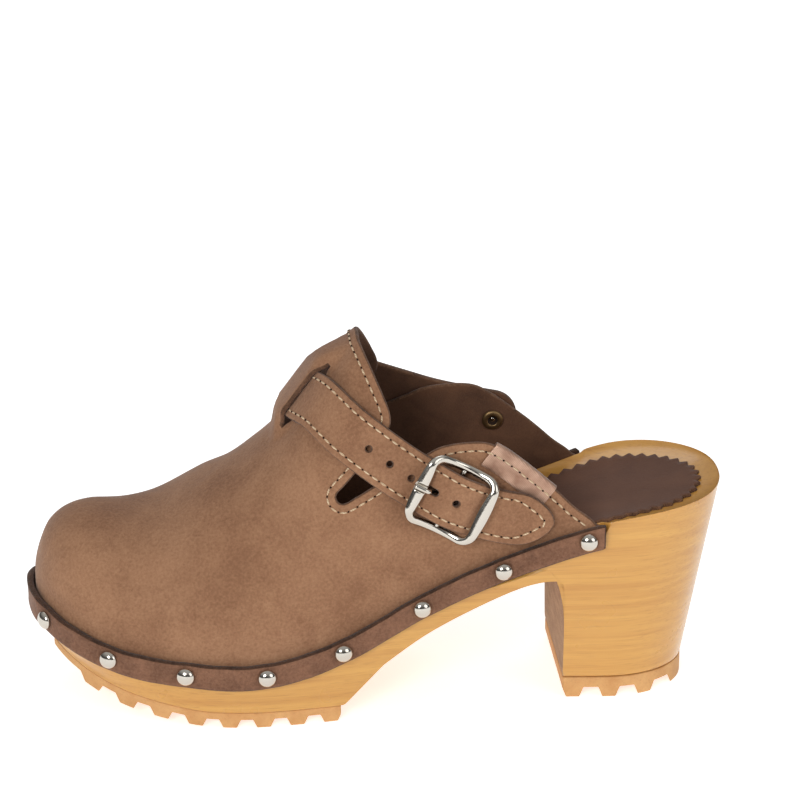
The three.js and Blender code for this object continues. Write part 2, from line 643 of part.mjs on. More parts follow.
function strap() {
  const first = strapMiddle.getPoint(0);
  const inner = strapMiddle.getPoint(1);
  const stations = [
    ...range(0, LAST_STOP_T, 80),
    ...range(0, Math.PI / 2, 9).slice(1).map((a) => LAST_STOP_T + (1 - LAST_STOP_T) * Math.sin(a)),
  ];
  const rings = stations.map((t) => {
    const { point, across, out } = strapFrame(t);
    const fromTip = point.distanceTo(first);
    const fromInner = point.distanceTo(inner);
    const nose = t < BUCKLE_T
      ? roundEnd(1 - (fromTip + TIP_BLUNT) / (STRAP_TIP_LENGTH + TIP_BLUNT), STRAP_TIP_POWER)
      : roundEnd(1 - (fromInner + TIP_BLUNT) / (STRAP_WIDTH / 2 + TIP_BLUNT), 2);
    const a = across.multiplyScalar(nose * STRAP_WIDTH / 2);
    const o = out.multiplyScalar(STRAP_THICK / 2);
    return [[-1, -1], [1, -1], [1, 1], [-1, 1]].map(([i, j]) =>
      point.clone().addScaledVector(a, i).addScaledVector(o, j));
  });
  let body = skin(rings);
  holeStations.forEach((distance) => {
    const { point, out } = strapFrame(strapAt(distance));
    body = body.subtract(aimed(rod(HOLE_R, -4, 4), point, out));
    if (distance === PRONG_HOLE_AT) {
      [-PRONG_HOLE_STRETCH, PRONG_HOLE_STRETCH].forEach((shift) => {
        const beside = strapFrame(strapAt(distance + shift));
        body = body.subtract(aimed(rod(HOLE_R, -4, 4), beside.point, beside.out));
      });
    }
  });
  const rivet = strapFrame(RIVET_T);
  return body.subtract(aimed(rod(RIVET_R + GAP, -4, 4), rivet.point, rivet.out));
}

// ---------------------------------------------------------------- strap rivet at the medial end
const rivetFrame = strapFrame(RIVET_T);
const strapRivetBore = aimed(rod(RIVET_R + GAP, -9, 4), rivetFrame.point, rivetFrame.out);
const RIVET_INNER = -STRAP_LIFT - LEATHER - GAP;
const WASHER_THICK = 0.8;
const WASHER_CLEAR = 0.6;      // further in, because the wing curves away behind a flat washer

function flatWasher(radius, low, thick, sides) {
  const high = low + thick;
  const bore = RIVET_R + GAP;
  return turned([[bore, low], [radius, low], [radius, high], [bore, high], [bore, low]], sides);
}

const washerLow = RIVET_INNER - WASHER_CLEAR - WASHER_THICK;
const washer = flatWasher(STRAP_RIVET_HEAD_R, washerLow, WASHER_THICK, 16);
const strapRivet = domedHead(
  STRAP_RIVET_HEAD_R, 1.4, STRAP_THICK / 2 + GAP, RIVET_R, washerLow - 0.8, 16,
);

// ---------------------------------------------------------------- buckle, prong and chape
// They are drawn in the buckle's own frame: x along the strap towards its tip, y across it, z out from
// the face of the wing, with the origin on the face under the centre bar.
const buckleStop = strapStops[BUCKLE_STOP];
const buckleBasis = (() => {
  const out = buckleStop.normal.clone();
  const along = strapMiddle.getTangent(BUCKLE_T).negate();
  along.addScaledVector(out, -along.dot(out)).normalize();
  const across = out.clone().cross(along);
  return new THREE.Matrix4().makeBasis(along, across, out).setPosition(buckleStop.face);
})();
const placed = (geometry) => solid(geometry.applyMatrix4(buckleBasis));

// Tube of round section along a list of points in the buckle's frame.
function tube(points, radius, closed, sides = 8) {
  const curve = new THREE.CatmullRomCurve3(points, closed);
  const steps = points.length * 2;
  const spots = closed ? range(0, 1, steps).slice(0, -1) : range(0, 1, steps);
  const rings = spots.map((u) => {
    const centre = curve.getPointAt(u);
    const along = curve.getTangentAt(u);
    const side = new THREE.Vector3(0, 0, 1).cross(along).normalize();
    const up = along.clone().cross(side);
    return range(0, 2 * Math.PI, sides).slice(0, -1).map((a) =>
      centre.clone().addScaledVector(side, radius * Math.cos(a)).addScaledVector(up, radius * Math.sin(a)));
  });
  return skin(rings.map((ring) => ring.map((p) => p.applyMatrix4(buckleBasis))), closed);
}

const bow = (s) => BAR_HEIGHT + (END_BAR_HEIGHT - BAR_HEIGHT) * (s / BAR_REACH) ** 2;

function frameLoop() {
  const corner = BUCKLE_CORNER;
  const arc = (cx, cy, from) => range(from, from + Math.PI / 2, 3)
    .map((a) => [cx + corner * Math.cos(a), cy + corner * Math.sin(a)]);
  const x = BAR_REACH - corner;
  const y = RAIL_REACH - corner;
  const flat = [
    [BAR_REACH, 0], ...arc(x, y, 0), [0, RAIL_REACH], ...arc(-x, y, Math.PI / 2), [-BAR_REACH, 0],
    ...arc(-x, -y, Math.PI), [0, -RAIL_REACH], ...arc(x, -y, 1.5 * Math.PI),
  ];
  return flat.map(([s, b]) => new THREE.Vector3(s, b, bow(s)));
}

const PRONG_REST = END_BAR_HEIGHT + 1.3;   // height at which the prong rests in the end bar's cup
const PRONG_LINE = [
  [-1.7, 3.3], [-5, 2.9], [-7, 4.1], [-8.6, 6.4], [-9.7, PRONG_REST], [-15, PRONG_REST],
].map(([s, h]) => new THREE.Vector3(s, 0, h));

function buckleFrame() {
  let body = tube(frameLoop(), BAR_R, true);
  [-1, 1].forEach((end) => {
    const face = new THREE.SphereGeometry(1, 12, 8);
    face.scale(2.2, RAIL_REACH - 1.6, BAR_R + 0.05);
    face.translate(end * BAR_REACH, 0, END_BAR_HEIGHT);
    body = body.add(placed(face));
  });
  const bar = rod(BAR_R, -RAIL_REACH, RAIL_REACH);
  bar.rotateX(Math.PI / 2);
  bar.translate(0, 0, BAR_HEIGHT);
  body = body.add(placed(bar));
  const cup = [-8, -13.5, -19].map((s) => new THREE.Vector3(s, 0, PRONG_REST));
  return body.subtract(tube(cup, PRONG_R + 2 * GAP, false));
}

function prong() {
  const eyeR = BAR_R + GAP;
  const eye = turned([[eyeR, -1.1], [eyeR + 0.9, -1.1], [eyeR + 0.9, 1.1], [eyeR, 1.1], [eyeR, -1.1]], 16);
  eye.rotateX(Math.PI / 2);
  eye.translate(0, 0, BAR_HEIGHT);
  const bore = rod(eyeR, -3, 3, 16);
  bore.rotateX(Math.PI / 2);
  bore.translate(0, 0, BAR_HEIGHT);
  return tube(PRONG_LINE, PRONG_R, false).add(placed(eye)).subtract(placed(bore));
}

const CHAPE_END = 8.3;
const CHAPE_RIVET_AT = 6.1;

function chape() {
  const outer = BAR_R + GAP + CHAPE_THICK;
  const inner = BAR_R + GAP;
  const arc = (r, from, to) => range(from, to, 8)
    .map((a) => [r * Math.cos(a), BAR_HEIGHT + r * Math.sin(a)]);
  const low = GAP;
  const high = low + 2 * CHAPE_THICK + 0.25;
  const section = [
    [CHAPE_END, low], ...arc(outer, 1.5 * Math.PI, 0.28 * Math.PI), [4.2, high], [CHAPE_END, high],
    [CHAPE_END, high - CHAPE_THICK], [3.7, high - CHAPE_THICK],
    ...arc(inner, 0.28 * Math.PI, 1.5 * Math.PI), [CHAPE_END, low + CHAPE_THICK],
  ];
  const shape = new THREE.Shape(section.map(([s, h]) => new THREE.Vector2(s, h)));
  const loop = new THREE.ExtrudeGeometry(shape, { depth: CHAPE_WIDTH, bevelEnabled: false });
  loop.rotateX(Math.PI / 2);
  loop.translate(0, CHAPE_WIDTH / 2, 0);
  const slot = new THREE.BoxGeometry(8, CHAPE_SLOT, 14);
  slot.translate(-1.2, 0, 5);
  return placed(loop).subtract(placed(slot)).subtract(placed(chapeRod(RIVET_R + GAP, -6, 8)));
}

function chapeRod(radius, from, to) {
  const body = rod(radius, from, to);
  body.translate(CHAPE_RIVET_AT, 0, 0);
  return body;
}

const chapeTop = 2 * GAP + 2 * CHAPE_THICK + 0.25;
const chapeRivet = domedHead(RIVET_HEAD_R, 0.7, chapeTop, RIVET_R, -LEATHER - 2.2, 12);
chapeRivet.translate(CHAPE_RIVET_AT, 0, 0);
const chapeWasher = flatWasher(RIVET_HEAD_R, -LEATHER - 1.6, 0.7, 12);
chapeWasher.translate(CHAPE_RIVET_AT, 0, 0);

// ---------------------------------------------------------------- ribbon label folded over the wing
const LABEL_THICK = 0.4;
const LABEL_WIDTH = 8.4;
const LABEL_TOP = [[40, 104.4], [44.5, 101.6], [54, 94], [61.5, 87.4]];

function ribbonLabel() {
  const lean = new THREE.Vector2(21.5, -17).normalize();
  const shifted = (d) => LABEL_TOP.map(([x, z]) => [x - lean.y * d, z + lean.x * d]);
  const band = (rise) => sidePrism([...shifted(rise), ...shifted(-LABEL_WIDTH).reverse()], -90, 0);
  const slab = (o) => lastBody(o, 76, 20, 26);
  const around = slab(GAP + LABEL_THICK).subtract(slab(-LEATHER - GAP - LABEL_THICK));
  const whole = around.intersect(band(GAP + LABEL_THICK));
  const wing = slab(GAP).subtract(slab(-LEATHER - GAP));
  const [before, after] = [[34, 106], [68, 81.5]];
  const clear = sidePrism([before, ...shifted(GAP), after, [after[0], 50], [before[0], 50]], -90, 0);
  return whole.subtract(wing.intersect(clear));
}

const chapeBore = placed(chapeRod(RIVET_R + GAP, -9, 8));
addNode("upper", upper().subtract(strapRivetBore).subtract(chapeBore), nubuckFinish);
addNode("strap", strap(), nubuckFinish);
addNode("strap_rivet", aimed(strapRivet, rivetFrame.point, rivetFrame.out), nickelFinish);
addNode("strap_rivet_washer", aimed(washer, rivetFrame.point, rivetFrame.out), brassFinish);
addNode("buckle_frame", buckleFrame(), nickelFinish);
addNode("buckle_prong", prong(), nickelFinish);
addNode("chape", chape(), nubuckFinish);
addNode("chape_rivet", placed(chapeRivet), nickelFinish);
addNode("chape_rivet_washer", placed(chapeWasher), brassFinish);
addNode("ribbon_label", ribbonLabel(), ribbonFinish);

// The frame's origin lies under the middle of the clog, on the ground.
const bounds = new THREE.Box3().setFromObject(clog);
const middle = bounds.getCenter(new THREE.Vector3());
clog.position.set(-middle.x, -middle.y, -bounds.min.z);

export default clog;
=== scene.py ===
import math

import bmesh
import bpy
import numpy as np
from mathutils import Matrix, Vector, noise
from mathutils.geometry import delaunay_2d_cdt


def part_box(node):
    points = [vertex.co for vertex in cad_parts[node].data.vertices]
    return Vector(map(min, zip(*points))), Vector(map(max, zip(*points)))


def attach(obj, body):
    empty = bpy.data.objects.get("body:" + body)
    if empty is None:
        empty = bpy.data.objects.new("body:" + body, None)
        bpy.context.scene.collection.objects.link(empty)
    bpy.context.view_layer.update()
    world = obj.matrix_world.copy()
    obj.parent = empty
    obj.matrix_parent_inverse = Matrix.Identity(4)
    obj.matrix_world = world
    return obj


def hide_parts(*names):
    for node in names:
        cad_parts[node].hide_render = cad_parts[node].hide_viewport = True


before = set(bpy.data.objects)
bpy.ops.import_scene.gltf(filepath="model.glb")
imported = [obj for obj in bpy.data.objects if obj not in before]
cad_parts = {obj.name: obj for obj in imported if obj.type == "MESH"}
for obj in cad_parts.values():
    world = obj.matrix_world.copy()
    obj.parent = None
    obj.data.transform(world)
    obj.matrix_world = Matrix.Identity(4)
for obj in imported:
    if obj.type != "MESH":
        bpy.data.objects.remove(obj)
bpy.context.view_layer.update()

# ------------------------------------------------------------------ sizes, as the model has them
MM = 0.001
TOE_X, HEEL_X = -128.0, 127.5
TOE_ROUND, HEEL_ROUND, TOE_BOX_ROUND = 62.0, 42.0, 30.0
TOE_POWER, HEEL_POWER = 2.2, 2.3          # 2 is an ellipse, more is squarer
FACE_POWER, CROWN_POWER = 2.3, 1.9        # section of the upper, across and over
GAP = 0.3
HEEL_BREAST_X, HEEL_BOTTOM_Z, ARCH_END_Z, ARCH_FILLET = 66.5, 8.4, 50.4, 4.0
HEEL_SIDE_TAPER, HEEL_BACK_TAPER, TOE_UNDERCUT = 0.2, 13.0, 5.0
DISH_DEPTH, SEAT_BEVEL = 4.5, 0.5
SOLE_FLAT_Z, SOLE_FLAT_END_X = 6.5, -16.0
LEATHER, RAND_WIDTH, RAND_THICK, RAND_END_X = 2.0, 8.8, 2.6, 80.0
STUD_HEAD_R, STUD_HEAD_H, STUD_SHANK_R, STUD_SHANK = 3.5, 2.4, 0.9, 10.0
STUD_COUNT, STUD_INSET, WAIST_STUDS, WAIST_STUD_GAP, TIP_STUD_GAP = 16, 6.0, 3, 33.2, 1.335
TREAD_PLATE, LUG_PITCH, LUG_TIP, LUG_ROOT = 3.0, 12.5, 5.0, 8.0
HEEL_PLATE, HEEL_LUG_PITCH, HEEL_LUG_COUNT, TREAD_INSET = 4.2, 13.6, 4, 0.8
PAD_THICK, PAD_MARGIN, PAD_FRONT_X, PINKING_PITCH, PINKING_DEPTH = 1.3, 7.0, 12.0, 5.0, 2.2
STRAP_WIDTH, STRAP_THICK, STRAP_TIP_LENGTH, STRAP_TIP_POWER = 20.0, 2.4, 13.0, 1.6
STRAP_LIFT = STRAP_THICK / 2 + 0.45
HOLE_R, HOLE_PITCH, PRONG_HOLE_AT, PRONG_HOLE_STRETCH = 1.5, 9.5, 7.8, 1.2
CROWN_X, BRIDGE_WIDTH, SLIT_FRONT_X, SLIT_REAR_X, SLIT_GAP = -27.0, 14.0, -35.0, -16.8, 1.2
BRIDGE_SIDE = 7.0     # width over which the leather rises at each side of the bridge
CROWN_LIFT = STRAP_LIFT + 0.5
BRIDGE_LIFT = CROWN_LIFT + STRAP_THICK / 2 + GAP + LEATHER
BAR_R, BAR_REACH, BUCKLE_CORNER, PRONG_R = 1.2, 12.3, 3.6, 0.9
RAIL_REACH = STRAP_WIDTH / 2 + 1 + BAR_R
CHAPE_THICK, CHAPE_WIDTH, CHAPE_SLOT, CHAPE_END, CHAPE_RIVET_AT = 1.2, 11.0, 4.4, 8.3, 6.1
CHAPE_FOLD_GAP = 0.25
BAR_HEIGHT = GAP + CHAPE_THICK + GAP + BAR_R
END_BAR_HEIGHT = BAR_HEIGHT + 4.6
PRONG_REST = END_BAR_HEIGHT + 1.3
RIVET_R, RIVET_HEAD_R, STRAP_RIVET_HEAD_R, WASHER_THICK = 0.95, 1.9, 4.0, 0.8
LABEL_THICK, LABEL_WIDTH = 0.4, 8.4
EDGE_BULGE = 0.45
FRAME_FLARE = 0.4     # how much flatter and wider the buckle's section is than round wire
SEAM_INSET, STITCH_PITCH, STITCH_LENGTH, THREAD_R, NEEDLE_HOLE_R = 2.7, 3.7, 2.7, 0.36, 0.38

heel_low, heel_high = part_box("heel_tread")
SHIFT = np.array([
    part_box("wooden_base")[1].x / MM - HEEL_X,
    (heel_low.y + heel_high.y) / 2 / MM,
    0.0,
])


def place(points):
    return (np.asarray(points, float) + SHIFT) * MM


# ------------------------------------------------------------------ small maths
def smooth(t):
    t = np.clip(t, 0, 1)
    return t * t * (3 - 2 * t)


def through(stations):
    """Smooth curve through given stations [x, value], flat outside them."""
    xs, vs = np.array(stations, float).T
    last = len(xs) - 1
    before, after = np.maximum(np.arange(last + 1) - 1, 0), np.minimum(np.arange(last + 1) + 1, last)
    slope = (vs[after] - vs[before]) / (xs[after] - xs[before])

    def curve(x):
        at = np.clip(np.asarray(x, float), xs[0], xs[-1])
        i = np.clip(np.searchsorted(xs, at, side="left") - 1, 0, last - 1)
        h = xs[i + 1] - xs[i]
        t = (at - xs[i]) / h
        return (vs[i] * (1 + 2 * t) * (1 - t) ** 2 + h * slope[i] * t * (1 - t) ** 2
                + vs[i + 1] * t * t * (3 - 2 * t) + h * slope[i + 1] * t * t * (t - 1))

    return curve


def round_end(u, power):
    return (1 - np.clip(u, 0, 1) ** power) ** (1 / power)


def unit(v):
    return v / np.maximum(np.linalg.norm(v, axis=-1, keepdims=True), 1e-12)


def dot(a, b):
    return np.sum(a * b, axis=-1, keepdims=True)


def patchy(points, scale, seed):
    """Smooth noise from -1 to 1 at each point, with lumps about 1 / scale across."""
    return np.array([noise.noise(Vector(p) * scale + Vector((seed, 0, 0))) for p in points])


def lengths(points):
    return np.concatenate([[0], np.cumsum(np.linalg.norm(np.diff(points, axis=0), axis=1))])


def resampled(points, step, closed=False):
    points = np.asarray(points, float)
    if closed:
        points = np.vstack([points, points[:1]])
    run = lengths(points)
    count = max(int(round(run[-1] / step)), 2)
    at = np.linspace(0, run[-1], count + 1)
    if closed:
        at = at[:-1]
    return np.stack([np.interp(at, run, points[:, k]) for k in range(points.shape[1])], 1)


class Rope:
    """Centripetal Catmull-Rom curve through points, with its parameter from 0 to 1."""

    def __init__(self, points):
        p = np.asarray(points, float)
        self.p = np.vstack([2 * p[0] - p[1], p, 2 * p[-1] - p[-2]])
        self.spans = len(p) - 1

    def at(self, t):
        u = np.clip(np.atleast_1d(t), 0, 1) * self.spans
        i = np.minimum(u.astype(int), self.spans - 1)
        w = (u - i)[:, None]
        q = [self.p[i + k] for k in range(4)]
        chords = [np.linalg.norm(q[k + 1] - q[k], axis=1, keepdims=True) for k in range(3)]
        d = [np.maximum(chord, 1e-6) ** 0.5 for chord in chords]
        m1 = ((q[1] - q[0]) / d[0] - (q[2] - q[0]) / (d[0] + d[1]) + (q[2] - q[1]) / d[1]) * d[1]
        m2 = ((q[2] - q[1]) / d[1] - (q[3] - q[1]) / (d[1] + d[2]) + (q[3] - q[2]) / d[2]) * d[1]
        return (q[1] + m1 * w + (3 * (q[2] - q[1]) - 2 * m1 - m2) * w ** 2
                + (2 * (q[1] - q[2]) + m1 + m2) * w ** 3)

    def along(self, t):
        t = np.atleast_1d(t)
        return unit(self.at(np.minimum(t + 1e-4, 1)) - self.at(np.maximum(t - 1e-4, 0)))


# ------------------------------------------------------------------ the last: plan, side line, crown
lateral_half = through([[-128, 44], [-98, 44.5], [-50, 47.5], [20, 34], [60, 33], [93, 35], [128, 35]])
medial_half = through([[-128, 33], [-98, 36.5], [-50, 44], [20, 34.5], [60, 31.5], [93, 35], [128, 35]])
rim = through([
    [-130, 42], [-100, 30.4], [-72, 27.1], [-45, 26.6], [-17.5, 33.8],
    [11.8, 48.3], [40.5, 60.8], [74.7, 72.6], [95, 77], [128, 79.5],
])
crown_rise = through([
    [-130, 38], [-103, 40], [-83, 44.5], [-63, 56.5], [-48, 65.5],
    [-35, 75.5], [-22, 89.5], [-10, 100.5], [10, 101], [80, 92],
])
toe_spring = through([
    [-128, 25], [-100, 12.5], [-75, 7.8], [-50, SOLE_FLAT_Z], [SOLE_FLAT_END_X, SOLE_FLAT_Z],
])
LAP = 40.0       # how far the leather runs down under the rand for each radian past the edge


def spine(x):
    return 9 * smooth((40 - x) / 150)


def sole_under(x):
    return np.maximum(SOLE_FLAT_Z, toe_spring(x))


def plan(x, o=0.0):
    x = np.asarray(x, float)
    half = (round_end((TOE_X + TOE_ROUND - x) / (TOE_ROUND + o), TOE_POWER)
            * round_end((x - HEEL_X + HEEL_ROUND) / (HEEL_ROUND + o), HEEL_POWER))
    return spine(x) - (lateral_half(x) + o) * half, spine(x) + (medial_half(x) + o) * half


def face_point(x, a, o=0.0):
    x, a = np.broadcast_arrays(np.asarray(x, float), np.asarray(a, float))
    lateral, medial = plan(x, o)
    slope = (rim(x + 1) + crown_rise(x + 1) - rim(x - 1) - crown_rise(x - 1)) / 2
    toe = round_end((TOE_X + TOE_BOX_ROUND - x) / (TOE_BOX_ROUND + o), TOE_POWER)
    rise = (crown_rise(x) + o * np.hypot(1, slope)) * toe
    turn = np.clip(a, 0, math.pi)
    c = np.cos(turn)
    half = np.where(c > 0, spine(x) - lateral, medial - spine(x))
    y = spine(x) - np.sign(c) * half * np.abs(c) ** (2 / FACE_POWER)
    lap = LAP * (np.minimum(a, 0) + np.minimum(math.pi - a, 0))
    return np.stack([x, y, rim(x) + rise * np.abs(np.sin(turn)) ** (2 / CROWN_POWER) + lap], -1)


def face_normal(x, a):
    along = face_point(x + 0.5, a) - face_point(x - 0.5, a)
    around = face_point(x, a + 0.01) - face_point(x, a - 0.01)
    return -unit(np.cross(around, along))


def angle_at(x, z, side):
    above = np.clip((z - rim(x)) / crown_rise(x), 0, 1)
    a = np.arcsin(above ** (CROWN_POWER / 2)) + np.minimum(z - rim(x), 0) / LAP
    return np.where(np.asarray(side) < 0, a, math.pi - a)


def angle_across(x, dy):
    """Angle of the face at a distance dy from the spine, towards the inner side if it is positive."""
    lateral, medial = plan(x)
    half = np.where(dy > 0, medial - spine(x), spine(x) - lateral)
    a = np.arccos(np.clip((np.abs(dy) / half) ** (FACE_POWER / 2), 0, 1))
    return np.where(dy > 0, math.pi - a, a)


# ------------------------------------------------------------------ mesh helpers
def piece(name, points, faces, finishes, face_finish=None, levels=0):
    """Smooth closed mesh object from points in millimetres, with its finishes in slots."""
    mesh = bpy.data.meshes.new(name)
    mesh.from_pydata([tuple(p) for p in place(points)], [], faces)
    for finish in finishes:
        mesh.materials.append(finish)
    if face_finish is not None:
        mesh.polygons.foreach_set("material_index", face_finish)
    made = bmesh.new()
    made.from_mesh(mesh)
    bmesh.ops.remove_doubles(made, verts=made.verts, dist=1e-6)
    bmesh.ops.dissolve_degenerate(made, edges=made.edges, dist=1e-7)
    bmesh.ops.recalc_face_normals(made, faces=made.faces)
    made.to_mesh(mesh)
    made.free()
    mesh.polygons.foreach_set("use_smooth", [True] * len(mesh.polygons))
    obj = bpy.data.objects.new(name, mesh)
    bpy.context.scene.collection.objects.link(obj)
    if levels:
        rounder = obj.modifiers.new("rounder", "SUBSURF")
        rounder.levels = levels
        rounder.render_levels = levels
    return obj


def kept(obj, body, slot, *nodes):
    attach(obj, body)
    if nodes:
        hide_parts(*nodes)
    return obj


def skin_faces(rows, columns, start=0, around=False, ends=False):
    """Quads over a grid of rows by closed columns; the rows may close too, or each end gets a fan."""
    faces = []
    for i in range(rows if around else rows - 1):
        here, there = start + i * columns, start + (i + 1) % rows * columns
        for j in range(columns):
            k = (j + 1) % columns
            faces.append((here + j, here + k, there + k, there + j))
    if ends:
        faces.append(tuple(start + j for j in range(columns)))
        faces.append(tuple(start + (rows - 1) * columns + j for j in reversed(range(columns))))
    return faces


def lathe(profile, sides, origin, x_axis, z_axis):
    """Turned body: profile of [radius, height] pairs about z_axis through origin."""
    y_axis = np.cross(z_axis, x_axis)
    angles = np.linspace(0, 2 * math.pi, sides, endpoint=False)
    points = [
        origin + r * (math.cos(a) * x_axis + math.sin(a) * y_axis) + h * z_axis
        for r, h in profile for a in angles
    ]
    closed = tuple(profile[0]) == tuple(profile[-1])
    rows = len(profile) - 1 if closed else len(profile)
    return np.array(points[:rows * sides]), skin_faces(rows, sides, around=closed)


def tube(centres, radius, sides, hint):
    """Round rod with rounded ends along centres."""
    centres = np.asarray(centres, float)
    along = unit(np.gradient(centres, axis=0))
    side = unit(np.cross(np.asarray(hint, float), along))
    up = np.cross(along, side)
    cap = np.linspace(math.pi / 2, 0, 6)[:-1]

    def end_rings(at, outward, angles):
        return [
            (centres[at] + outward * radius * math.sin(c), side[at], up[at], radius * math.cos(c))
            for c in angles
        ]

    rings = end_rings(0, -along[0], cap)
    rings += [(centres[i], side[i], up[i], radius) for i in range(len(centres))]
    rings += end_rings(-1, along[-1], cap[::-1])
    angles = np.linspace(0, 2 * math.pi, sides, endpoint=False)
    points = [p + r * (math.cos(a) * s + math.sin(a) * u) for p, s, u, r in rings for a in angles]
    return np.array(points), skin_faces(len(rings), sides)


def joined(parts):
    points, faces, start = [], [], 0
    for p, f in parts:
        points.append(p)
        faces += [tuple(i + start for i in face) for face in f]
        start += len(p)
    return np.vstack(points), faces


def is_inside(points, loop):
    x, y = points[:, :1], points[:, 1:]
    (x0, y0), (x1, y1) = loop.T, np.roll(loop, -1, 0).T
    crosses = (y0 > y) != (y1 > y)
    at = (x1 - x0) * (y - y0) / np.where(y1 == y0, 1, y1 - y0) + x0
    return np.sum(crosses & (x < at), axis=1) % 2 == 1


def cut_sheet(name, outline, holes, mapping, thickness, spacing, finishes, bulge=EDGE_BULGE):
    """Sheet of leather or cloth cut to a flat outline with holes, laid by mapping(p, q) -> (points, normals)
    of its outer face, with rounded cut edges. Returns the object and each loop's points, normals and
    directions out of the sheet."""
    loops = [np.asarray(loop, float) for loop in [outline, *holes]]
    low, high = loops[0].min(0), loops[0].max(0)
    rows = np.arange(low[1], high[1], spacing * 0.87)
    grid = np.array([
        (x + (spacing / 2 if k % 2 else 0), y)
        for k, y in enumerate(rows) for x in np.arange(low[0], high[0], spacing)
    ])
    edge_points = np.vstack(loops)
    room = is_inside(grid, loops[0])
    for loop in loops[1:]:
        room &= ~is_inside(grid, loop)
    grid = grid[room]
    near = np.array([np.min(np.sum((edge_points - g) ** 2, axis=1)) for g in grid])
    grid = grid[near > (0.6 * spacing) ** 2]
    flat = np.vstack([edge_points, grid])
    edges, start = [], 0
    for loop in loops:
        count = len(loop)
        edges += [(start + i, start + (i + 1) % count) for i in range(count)]
        start += count
    cut = delaunay_2d_cdt([Vector(p) for p in flat], edges, [], 0, 1e-7)
    spots, triangles, origins = np.array([tuple(v) for v in cut[0]]), np.array(cut[2]), cut[3]
    middles = spots[triangles].mean(axis=1)
    inside = is_inside(middles, loops[0])
    for loop in loops[1:]:
        inside &= ~is_inside(middles, loop)
    triangles = triangles[inside]
    where = {i: new for new, old in enumerate(origins) for i in old}
    outer, normals = mapping(spots[:, 0], spots[:, 1])
    count = len(outer)
    points = [outer, outer - normals * thickness]
    faces = [tuple(t) for t in triangles] + [tuple(reversed([i + count for i in t])) for t in triangles]
    index = [0] * len(triangles) + [min(2, len(finishes) - 1)] * len(triangles)
    at, start, borders = 2 * count, 0, []
    for number, loop in enumerate(loops):
        area = np.sum(loop[:, 0] * np.roll(loop[:, 1], -1) - np.roll(loop[:, 0], -1) * loop[:, 1])
        run = np.roll(loop, -1, 0) - np.roll(loop, 1, 0)
        turn = (1 if area > 0 else -1) * (1 if number == 0 else -1)
        out_flat = unit(np.stack([run[:, 1], -run[:, 0]], 1)) * turn
        ids = [where[start + i] for i in range(len(loop))]
        p, n = outer[ids], normals[ids]
        inner, _ = mapping(*(loop - out_flat * 0.05).T)
        tangent = unit(np.roll(p, -1, 0) - np.roll(p, 1, 0))
        out = p - inner
        out = out - n * dot(out, n)
        out = unit(out - tangent * dot(out, tangent))
        steps = [math.pi * k / 4 for k in (1, 2, 3)]
        rings = [
            p - n * thickness / 2 + n * math.cos(s) * thickness / 2 + out * math.sin(s) * bulge for s in steps
        ]
        points += rings
        size = len(loop)
        between = [[at + k * size + i for i in range(size)] for k in range(3)]
        columns = [ids, *between, [i + count for i in ids]]
        for a, b in zip(columns, columns[1:]):
            for i in range(size):
                j = (i + 1) % size
                faces.append((a[i], a[j], b[j], b[i]))
                index.append(min(1, len(finishes) - 1))
        at += 3 * size
        start += size
        borders.append((p, n, out))
    return piece(name, np.vstack(points), faces, finishes, index), borders


# ------------------------------------------------------------------ finishes
def linear(red, green, blue):
    """Colour given in 0 to 255 as a screen shows it, as the linear values that a material takes."""
    shares = red / 255, green / 255, blue / 255
    return *(c / 12.92 if c <= 0.04045 else ((c + 0.055) / 1.055) ** 2.4 for c in shares), 1.0


class Wiring:
    """Adds nodes to a tree and links or sets their inputs by name."""

    def __init__(self, tree):
        self.tree = tree

    def add(self, kind, settings=None, **inputs):
        node = self.tree.nodes.new(kind)
        for key, value in (settings or {}).items():
            setattr(node, key, value)
        for key, value in inputs.items():
            self.feed(node, key.replace("_", " "), value)
        return node

    def feed(self, node, key, value):
        socket = node.inputs[int(key)] if key.isdigit() else node.inputs[key]
        if isinstance(value, bpy.types.NodeSocket):
            self.tree.links.new(value, socket)
        else:
            socket.default_value = value

    def math(self, operation, a, b=0.0, c=0.0):
        node = self.tree.nodes.new("ShaderNodeMath")
        node.operation = operation
        for key, value in (("0", a), ("1", b), ("2", c)):
            self.feed(node, key, value)
        return node.outputs[0]

    def mix(self, share, a, b, blend="MIX"):
        node = self.tree.nodes.new("ShaderNodeMix")
        node.data_type = "RGBA"
        node.blend_type = blend
        for key, value in (("0", share), ("6", a), ("7", b)):
            self.feed(node, key, value)
        return node.outputs[2]

    def spread(self, value, low, high, out_low=0.0, out_high=1.0):
        node = self.add("ShaderNodeMapRange", From_Min=low, From_Max=high, To_Min=out_low, To_Max=out_high)
        self.feed(node, "Value", value)
        return node.outputs[0]

    def noise(self, where, scale, detail=2.0, roughness=0.5, distortion=0.0):
        return self.add(
            "ShaderNodeTexNoise", Vector=where, Scale=scale, Detail=detail, Roughness=roughness,
            Distortion=distortion,
        ).outputs["Fac"]

    def place(self):
        return self.tree.nodes.new("ShaderNodeTexCoord").outputs["Object"]


def effect(name, inputs, outputs):
    tree = bpy.data.node_groups.new(name, "ShaderNodeTree")
    for label, kind, value in inputs:
        tree.interface.new_socket(label, in_out="INPUT", socket_type=kind).default_value = value
    for label, kind in outputs:
        tree.interface.new_socket(label, in_out="OUTPUT", socket_type=kind)
    wiring = Wiring(tree)
    return tree, wiring, wiring.add("NodeGroupInput").outputs, wiring.add("NodeGroupOutput")


FLOAT, COLOUR, VECTOR = "NodeSocketFloat", "NodeSocketColor", "NodeSocketVector"


